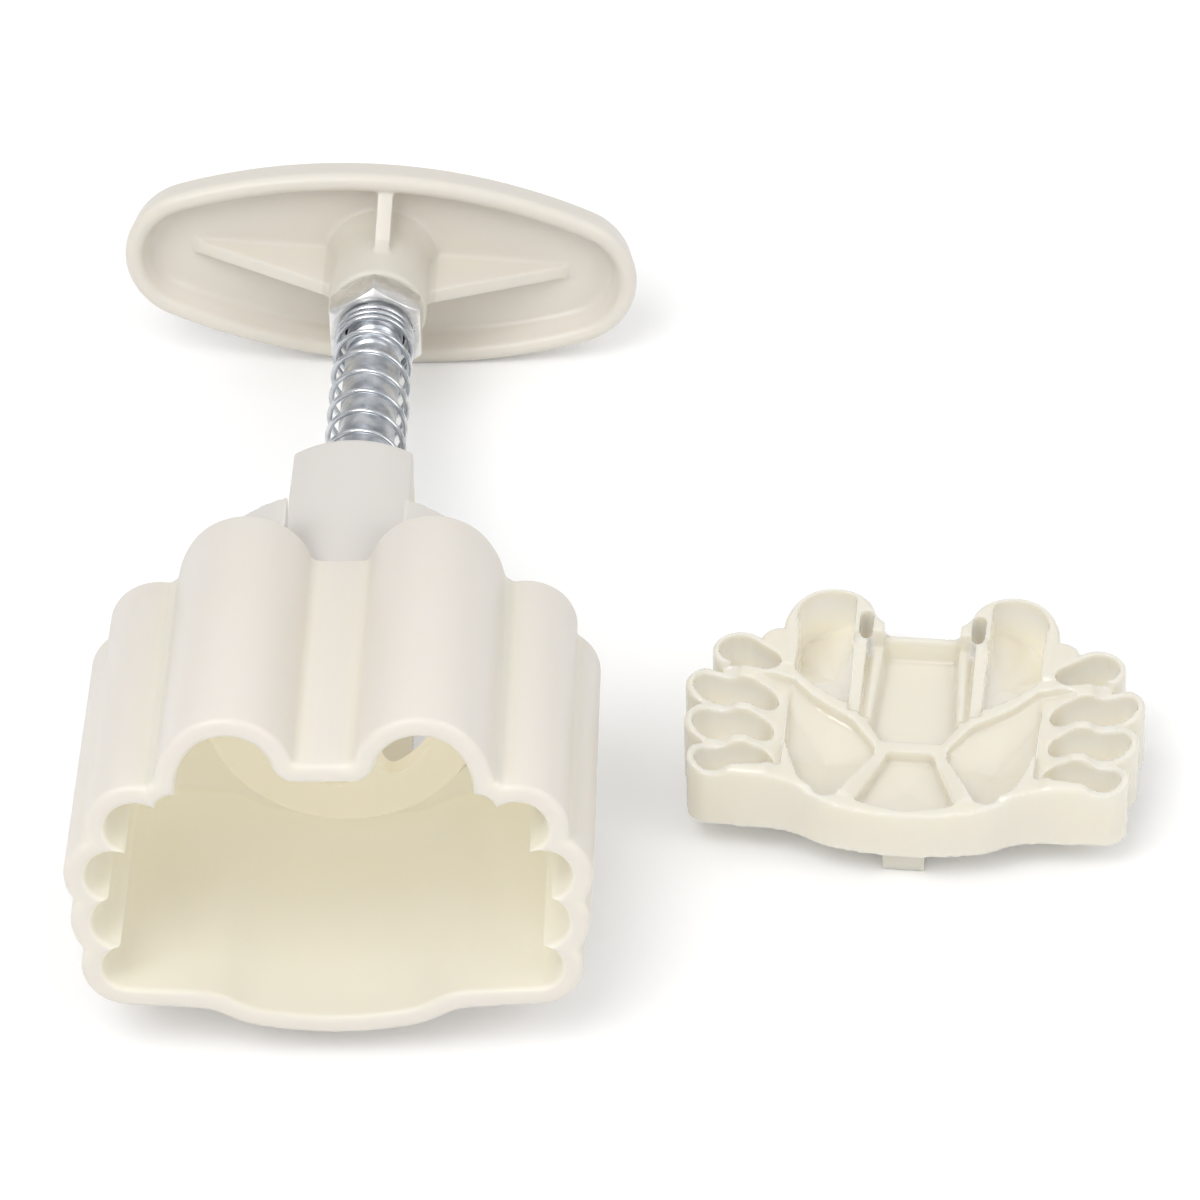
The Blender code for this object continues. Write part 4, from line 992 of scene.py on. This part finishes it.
def relief_tools(low):
    """Everything that is hollowed out of the plate to leave the crab's relief."""
    high = low + TOOL_H
    wide = PANEL_HALF[0]
    tools = [
        across("saddle", SADDLE, low, RIM_V, SADDLE_V),
        across("rim", SHELL_RIM, low, FRONT_V, RIM_V),
        deck(low),
        panel(low),
        facet(low),
        block("inner_rib", (-RIB_X, RIB_V[0], low + RIB_H), (RIB_X, RIB_V[1], high)),
        block("notch_rim", (-wide, NOTCH_RIM_V[0], low + NOTCH_RIM_H), (wide, NOTCH_RIM_V[1], high)),
    ]
    for side in (-1, 1):
        tools.append(hollow("claw", claw(side), mirrored(side, CLAW_FLOOR), low))
        bowl = [mirrored(side, corner) for corner in BOWL]
        tools.append(hollow("bowl", bowl, mirrored(side, BOWL_FLOOR), low))
        far, near = (mirrored(side, circle) for circle in EYE)
        tools.append(drawn_solid("eye", [capsule(far, near, 0, z, 12) for z in (high, low + EYE_H)]))
        x = side * RIB_X
        start = (x - GROOVE_HALF, GROOVE_V[0], low + GROOVE_H)
        tools.append(block("groove", start, (x + GROOVE_HALF, GROOVE_V[1], high)))
        for trough in TROUGHS:
            tip, root = (mirrored(side, circle) for circle in trough)
            rings = [capsule(tip, root, inset, low + z) for inset, z in TROUGH_STEPS]
            tools.append(drawn_solid("trough", rings))
        tools.append(beside("dip", side, DIP, low, DIP_V))
        tools.append(beside("fall", side, FALL, low, FALL_V))
    return tools


def hollow(name, corners, middle, low):
    """Upright hollow over its corners, with a floor that folds to one middle point."""
    bm = bmesh.new()
    verts, edges = closed_loop(bm, [(x, v, low + h) for x, v, h in corners])
    floor = bmesh.ops.contextual_create(bm, geom=edges)["faces"]
    verts, edges = draw_out(bm, verts, edges, [(x, v, low + TOOL_H) for x, v, _ in corners])
    bmesh.ops.contextual_create(bm, geom=edges)
    middle_vert = bmesh.ops.poke(bm, faces=floor)["verts"][0]
    middle_vert.co = (middle[0], middle[1], low + middle[2])
    bmesh.ops.recalc_face_normals(bm, faces=bm.faces)
    return new_piece(name, bm)


def claw(side):
    """Round back of the claw's hollow, then the rib, the shell and the wrist."""
    radius = CLAW[2] - CLAW_RIM
    start, end = CLAW_ARC
    row = []
    for k in range(17):
        share = k / 16
        angle = start + (end - start) * share
        h = CLAW_H + CLAW_RISE * eased(2 * share - 1)
        row.append((CLAW[0] + radius * math.cos(angle), CLAW[1] + radius * math.sin(angle), h))
    return [mirrored(side, corner) for corner in row + list(CLAW_SIDE)]


def across(name, half_profile, low, front, back):
    """All that lies above a mirrored profile of x and height."""
    wall = WRIST[0]
    half = [(wall, low + TOOL_H), (wall, low + STAMP_H)] + [(x, low + h) for x, h in half_profile]
    profile = half + [(-x, z) for x, z in reversed(half)]
    return drawn_solid(name, [[(x, v, z) for x, z in profile] for v in (front, back)])


def beside(name, side, half_profile, low, reach):
    """All that lies above a profile of x and height on one side."""
    high = low + TOOL_H
    profile = [(x, low + h) for x, h in half_profile]
    profile = [(profile[0][0], high)] + profile + [(profile[-1][0], high)]
    return drawn_solid(name, [[(side * x, v, z) for x, z in profile] for v in reach])


def deck(low):
    """Lets the ribs beside the panel fall towards the shell."""
    high = low + TOOL_H
    profile = [(DECK[0][0], high)] + [(v, low + h) for v, h in DECK] + [(DECK[-1][0], high)]
    return drawn_solid("deck", [[(x, v, z) for v, z in profile] for x in (-DECK_HALF, DECK_HALF)])


def panel(low):
    """Flat sunk panel between the claws."""
    half, wide = PANEL_HALF
    rings = []
    for inset, z in PANEL_LEVELS:
        bottom = PANEL_V[1] + inset
        right = [(half - inset, PANEL_V[0] - inset), (wide - inset, bottom + wide / 2)]
        right.append((wide * PANEL_FOOT - inset, bottom))
        ring = right + [(-x, v) for x, v in reversed(right)]
        rings.append([(x, v, low + z) for x, v in ring])
    return drawn_solid("panel", rings)


def facet(low):
    """Shallow facet in the middle of the shell, along the belly's edge."""
    corners = [*FACET, FACET_TIP] + [mirrored(-1, corner) for corner in reversed(FACET)]
    corners = [(x, FRONT_V + v, h) for x, v, h in corners]
    return hollow("facet", corners, (0.0, FRONT_V + FACET_FLOOR[0], FACET_FLOOR[1]), low)


# finishes

COLOR = "NodeSocketColor"
VALUE = "NodeSocketFloat"
MIX_FIRST = 6
MIX_SECOND = 7
MIX_RESULT = 2


def effect(name, takes, gives):
    """An empty node group with its inputs, their first values and its outputs."""
    group = bpy.data.node_groups.new(name, "ShaderNodeTree")
    for label, value in takes.items():
        kind = COLOR if isinstance(value, tuple) else VALUE
        item = group.interface.new_socket(name=label, in_out="INPUT", socket_type=kind)
        item.default_value = value
    for label, kind in gives.items():
        group.interface.new_socket(name=label, in_out="OUTPUT", socket_type=kind)
    return group, group.nodes.new("NodeGroupInput").outputs, group.nodes.new("NodeGroupOutput").inputs


def noise(group, scale, detail):
    """Noise that stays with the piece."""
    place = group.nodes.new("ShaderNodeTexCoord")
    node = group.nodes.new("ShaderNodeTexNoise")
    node.inputs["Scale"].default_value = scale
    node.inputs["Detail"].default_value = detail
    group.links.new(place.outputs["Object"], node.inputs["Vector"])
    return node.outputs["Fac"]


def blend(group, share, first, second):
    """Mix of two colours; without a first one it starts from black."""
    mix = group.nodes.new("ShaderNodeMix")
    mix.data_type = "RGBA"
    group.links.new(share, mix.inputs["Factor"])
    if first is None:
        mix.inputs[MIX_FIRST].default_value = (0, 0, 0, 1)
    else:
        group.links.new(first, mix.inputs[MIX_FIRST])
    group.links.new(second, mix.inputs[MIX_SECOND])
    return mix.outputs[MIX_RESULT]


def times(group, value, factor):
    """Product of two values."""
    node = group.nodes.new("ShaderNodeMath")
    node.operation = "MULTIPLY"
    group.links.new(value, node.inputs[0])
    group.links.new(factor, node.inputs[1])
    return node.outputs[0]


def raised(group, base, value, share):
    """A base value plus a share of another value."""
    node = group.nodes.new("ShaderNodeMath")
    node.operation = "MULTIPLY_ADD"
    group.links.new(value, node.inputs[0])
    node.inputs[1].default_value = share
    group.links.new(base, node.inputs[2])
    return node.outputs[0]


def moulded_skin():
    """Faint tone drift and the fine unevenness of a moulded surface."""
    takes = {"Tone": (0.8, 0.76, 0.69, 1), "Shade Tone": (0.76, 0.72, 0.6, 1), "Drift": 0.5, "Gloss": 0.35}
    group, into, out = effect("moulded_skin", takes, {"Color": COLOR, "Roughness": VALUE, "Height": VALUE})
    wide = noise(group, 38, 2)
    tone = blend(group, times(group, wide, into["Drift"]), into["Tone"], into["Shade Tone"])
    group.links.new(tone, out["Color"])
    group.links.new(raised(group, into["Gloss"], wide, 0.12), out["Roughness"])
    group.links.new(noise(group, 900, 3), out["Height"])
    return group


def plated_skin():
    """Zinc plating: slow grey drift, small dull spots and an uneven gloss."""
    takes = {"Bright": (0.7, 0.72, 0.75, 1), "Dull": (0.5, 0.53, 0.57, 1), "Gloss": 0.2}
    group, into, out = effect("plated_skin", takes, {"Color": COLOR, "Roughness": VALUE, "Height": VALUE})
    cloud = noise(group, 420, 4)
    ramp = group.nodes.new("ShaderNodeValToRGB")
    ramp.color_ramp.elements[0].position = 0.38
    ramp.color_ramp.elements[1].position = 0.64
    group.links.new(cloud, ramp.inputs["Fac"])
    group.links.new(blend(group, ramp.outputs["Color"], into["Bright"], into["Dull"]), out["Color"])
    group.links.new(raised(group, into["Gloss"], cloud, 0.16), out["Roughness"])
    group.links.new(noise(group, 2600, 1), out["Height"])
    return group


def painted_through_light():
    """Painted light in place of the light that comes through the walls: a painted warm or grey tone and a
    painted glow on the inside.
    """
    takes = {"Color": (0.8, 0.8, 0.8, 1), "Painted Light Tone": (0.8, 0.8, 0.6, 1), "Glow Tone": (0.1, 0.1, 0.1, 1)}
    takes |= {"Inside": 0.0, "Painted Glow Share": 0.0}
    group, into, out = effect("painted_through_light", takes, {"Color": COLOR, "Glow": COLOR})
    group.links.new(blend(group, into["Inside"], into["Color"], into["Painted Light Tone"]), out["Color"])
    # painted glow, which the material sends to its emission
    group.links.new(blend(group, into["Painted Glow Share"], None, into["Glow Tone"]), out["Glow"])
    return group


def finish_of(name, group, values, metallic, bump, depth, plain):
    """A material from one of the skins, with a fine bump and the shader's own plain values."""
    mat = bpy.data.materials.new(name)
    mat.use_nodes = True
    nodes, links = mat.node_tree.nodes, mat.node_tree.links
    shader = nodes["Principled BSDF"]
    skin = nodes.new("ShaderNodeGroup")
    skin.node_tree = group
    for key, value in values.items():
        skin.inputs[key].default_value = value
    links.new(skin.outputs["Color"], shader.inputs["Base Color"])
    links.new(skin.outputs["Roughness"], shader.inputs["Roughness"])
    relief = nodes.new("ShaderNodeBump")
    relief.inputs["Strength"].default_value = bump
    relief.inputs["Distance"].default_value = depth
    links.new(skin.outputs["Height"], relief.inputs["Height"])
    links.new(relief.outputs["Normal"], shader.inputs["Normal"])
    shader.inputs["Metallic"].default_value = metallic
    for key, value in plain.items():
        shader.inputs[key].default_value = value
    return mat


def paint_light_in(mat, tone, painted_glow):
    """Puts the painted through-light between the skin and the shader: a painted tone by one mask and a
    painted glow by the other.
    """
    nodes, links = mat.node_tree.nodes, mat.node_tree.links
    shader = nodes["Principled BSDF"]
    through = nodes.new("ShaderNodeGroup")
    through.node_tree = painted_light_group
    through.inputs["Painted Light Tone"].default_value = (*tone, 1)
    through.inputs["Glow Tone"].default_value = (*painted_glow, 1)
    links.new(shader.inputs["Base Color"].links[0].from_socket, through.inputs["Color"])
    for mask, name in (("inside", "Inside"), ("deep", "Painted Glow Share")):
        where = nodes.new("ShaderNodeAttribute")
        where.attribute_name = mask
        links.new(where.outputs["Fac"], through.inputs[name])
    links.new(through.outputs["Color"], shader.inputs["Base Color"])
    # painted glow: emission on the plastic's inside, which is no lamp
    links.new(through.outputs["Glow"], shader.inputs["Emission Color"])
    shader.inputs["Emission Strength"].default_value = 1.0


def plastic(name, tone, shade, drift, gloss, painted_light_tone, painted_glow, bump=0.05, body=None):
    """Moulded plastic: its tone, the tone it drifts to, and the painted light on its inside: a painted tone
    and a painted glow.
    """
    values = {"Tone": (*tone, 1), "Shade Tone": (*shade, 1), "Drift": drift, "Gloss": gloss}
    mat = finish_of(name, moulded, values, 0.0, bump, 0.0001, body or SOFT)
    paint_light_in(mat, painted_light_tone, painted_glow)
    return mat


def steel(name, bright, dull, gloss, bump, depth=0.00005):
    """Steel between a bright and a dull grey."""
    values = {"Bright": (*bright, 1), "Dull": (*dull, 1), "Gloss": gloss}
    return finish_of(name, plated, values, 1.0, bump, depth, {})


def paint(piece, mat):
    """Gives a piece its one material in its one slot."""
    piece.data.materials.clear()
    piece.data.materials.append(mat)


moulded = moulded_skin()
plated = plated_skin()
painted_light_group = painted_through_light()
SOFT = {
    "Subsurface Weight": 0.25,
    "Subsurface Radius": (1.0, 0.85, 0.6),
    "Subsurface Scale": 0.002,
    "IOR": 1.5,
}
CLEAR = {
    "Subsurface Weight": 0.55,
    "Subsurface Radius": (1.0, 0.9, 0.7),
    "Subsurface Scale": 0.003,
    "IOR": 1.5,
    "Coat Weight": 0.6,
    "Coat Roughness": 0.06,
}
# painted_light_tone and painted_glow of each plastic are painted light: the tone its masked inside turns
# to, and its painted glow
ivory_barrel = plastic(
    "ivory_barrel",
    tone=(0.80, 0.755, 0.70),
    shade=(0.76, 0.72, 0.62),
    drift=0.5,
    gloss=0.30,
    painted_light_tone=(0.785, 0.755, 0.655),
    painted_glow=(0.20, 0.193, 0.155),
)
# the bridge is the barrel's own plastic in a darker, greyer copy: painted shade, with a weaker painted glow
ivory_bridge_shaded = plastic(
    "ivory_bridge_shaded",
    tone=(0.73, 0.70, 0.665),
    shade=(0.70, 0.665, 0.62),
    drift=0.5,
    gloss=0.34,
    painted_light_tone=(0.72, 0.68, 0.59),
    painted_glow=(0.10, 0.093, 0.073),
)
# the handle's painted light tone is darker: painted shade on its boss, with no painted glow
ivory_handle = plastic(
    "ivory_handle",
    tone=(0.78, 0.742, 0.685),
    shade=(0.745, 0.705, 0.605),
    drift=0.6,
    gloss=0.26,
    painted_light_tone=(0.69, 0.66, 0.58),
    painted_glow=(0, 0, 0),
)
ivory_foot = plastic(
    "ivory_foot",
    tone=(0.78, 0.73, 0.56),
    shade=(0.76, 0.70, 0.52),
    drift=0.5,
    gloss=0.32,
    painted_light_tone=(0.84, 0.795, 0.69),
    painted_glow=(0.20, 0.189, 0.148),
)
ivory_stamp = plastic(
    "ivory_stamp",
    tone=(0.80, 0.765, 0.675),
    shade=(0.79, 0.74, 0.61),
    drift=0.6,
    gloss=0.08,
    painted_light_tone=(0.76, 0.75, 0.715),
    painted_glow=(0.105, 0.100, 0.090),
    bump=0.04,
    body=CLEAR,
)
zinc = steel("zinc_plate", (0.78, 0.80, 0.83), (0.46, 0.49, 0.53), 0.24, 0.12)
nut_zinc = steel("nut_zinc", (0.91, 0.90, 0.88), (0.74, 0.74, 0.73), 0.22, 0.08)
wire_steel = steel("wire_steel", (0.78, 0.80, 0.82), (0.54, 0.57, 0.61), 0.10, 0.04, 0.00003)

# the pieces in place


def along(z):
    """The lay of the mold, moved along the rod."""
    return LAY @ Matrix.Translation((0, 0, z))


paint(put(make_cup(), LAY, "mold_body", ("barrel",)), ivory_barrel)
paint(put(make_bridge(), LAY, "mold_body"), ivory_bridge_shaded)
paint(put(make_foot(), along(FOOT_Z), "plunger", ("foot",)), ivory_foot)
paint(put(make_rod(), LAY, "plunger", ("rod",)), zinc)
paint(put(make_thread(), LAY, "plunger"), zinc)
paint(put(make_nut(), along(NUT_Z), "plunger", ("lock_nut",), 28), nut_zinc)
turned_cap = along(RIM_Z) @ Matrix.Rotation(HANDLE_TURN, 4, "Z")
paint(put(make_handle(), turned_cap, "plunger", ("handle",)), ivory_handle)
paint(put(make_stamp(), PLATE, "stamp_plate", ("stamp",)), ivory_stamp)
wire = put(make_spring(), LAY, "mold_body", ("spring",), 60)
paint(wire, wire_steel)
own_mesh(wire)
for name in ("foot_washer", "foot_screw"):
    paint(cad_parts[name], zinc)

# floor, light and camera

PHOTO_PX = 1200.0
SENSOR = 36.0
OBJECT_MIDDLE = (0.0, 0.0, 0.03)


def stage_floor():
    """Pale paper that keeps its shadows and looks near white to the camera."""
    bm = bmesh.new()
    bmesh.ops.create_grid(bm, x_segments=1, y_segments=1, size=3.0)
    floor = new_piece("floor", bm)
    mat = bpy.data.materials.new("floor_paper")
    mat.use_nodes = True
    nodes, links = mat.node_tree.nodes, mat.node_tree.links
    shader = nodes["Principled BSDF"]
    shader.inputs["Base Color"].default_value = (0.93, 0.93, 0.93, 1)
    shader.inputs["Roughness"].default_value = 0.9
    shader.inputs["Specular IOR Level"].default_value = 0.1
    path = nodes.new("ShaderNodeLightPath")
    lift = nodes.new("ShaderNodeMath")
    lift.operation = "MULTIPLY"
    lift.inputs[1].default_value = 0.12
    links.new(path.outputs["Is Camera Ray"], lift.inputs[0])
    shader.inputs["Emission Color"].default_value = (1, 1, 1, 1)
    links.new(lift.outputs[0], shader.inputs["Emission Strength"])
    floor.data.materials.append(mat)


def lamp(name, place, aim, size, power):
    """A soft square lamp at a place, turned to what it lights."""
    data = bpy.data.lights.new(name, "AREA")
    data.shape = "SQUARE"
    data.size = size
    data.energy = power
    light = bpy.data.objects.new(name, data)
    light.location = place
    light.rotation_euler = (Vector(aim) - Vector(place)).to_track_quat("-Z", "Y").to_euler()
    bpy.context.scene.collection.objects.link(light)


def studio_world():
    """Even grey light from all round, a little stronger from above, and a white backdrop."""
    world = bpy.data.worlds.new("studio")
    world.use_nodes = True
    bpy.context.scene.world = world
    nodes, links = world.node_tree.nodes, world.node_tree.links
    back = nodes["Background"]
    path = nodes.new("ShaderNodeLightPath")
    place = nodes.new("ShaderNodeTexCoord")
    split = nodes.new("ShaderNodeSeparateXYZ")
    links.new(place.outputs["Generated"], split.inputs[0])
    ramp = nodes.new("ShaderNodeValToRGB")
    ramp.color_ramp.elements[0].position = 0.0
    ramp.color_ramp.elements[0].color = (0.42, 0.42, 0.43, 1)
    ramp.color_ramp.elements[1].position = 0.75
    ramp.color_ramp.elements[1].color = (0.78, 0.78, 0.78, 1)
    links.new(split.outputs["Z"], ramp.inputs["Fac"])
    mix = nodes.new("ShaderNodeMix")
    mix.data_type = "RGBA"
    mix.inputs[MIX_SECOND].default_value = (1, 1, 1, 1)
    links.new(path.outputs["Is Camera Ray"], mix.inputs["Factor"])
    links.new(ramp.outputs["Color"], mix.inputs[MIX_FIRST])
    links.new(mix.outputs[MIX_RESULT], back.inputs["Color"])
    back.inputs["Strength"].default_value = 1.0


def camera_at(place, pitch, yaw, roll, focal):
    """Camera from its place, its turns in degrees and its focal length in the photo's pixels."""
    pitch, yaw, roll = (math.radians(a) for a in (pitch, yaw, roll))
    ahead = Vector((math.sin(yaw) * math.cos(pitch), math.cos(yaw) * math.cos(pitch), -math.sin(pitch)))
    right = Vector((math.cos(yaw), -math.sin(yaw), 0.0))
    up = right.cross(ahead)
    across = right * math.cos(roll) + up * math.sin(roll)
    upright = up * math.cos(roll) - right * math.sin(roll)
    turn = Matrix((across, upright, -ahead)).transposed().to_4x4()
    data = bpy.data.cameras.new("camera")
    data.sensor_width = SENSOR
    data.lens = focal / PHOTO_PX * SENSOR
    data.clip_start = 0.01
    data.clip_end = 20.0
    camera = bpy.data.objects.new("camera", data)
    camera.matrix_world = Matrix.Translation(place) @ turn
    bpy.context.scene.collection.objects.link(camera)
    bpy.context.scene.camera = camera


stage_floor()
studio_world()
lamp("key", (-0.5, -0.7, 1.3), OBJECT_MIDDLE, 0.9, 9.0)
lamp("fill", (0.9, -0.6, 0.9), OBJECT_MIDDLE, 0.8, 3.0)
camera_at((0.023896, -0.744852, 0.627303), 39.5201, -1.9807, -1.4669, 7000.0)
bpy.context.scene.view_settings.view_transform = "Standard"
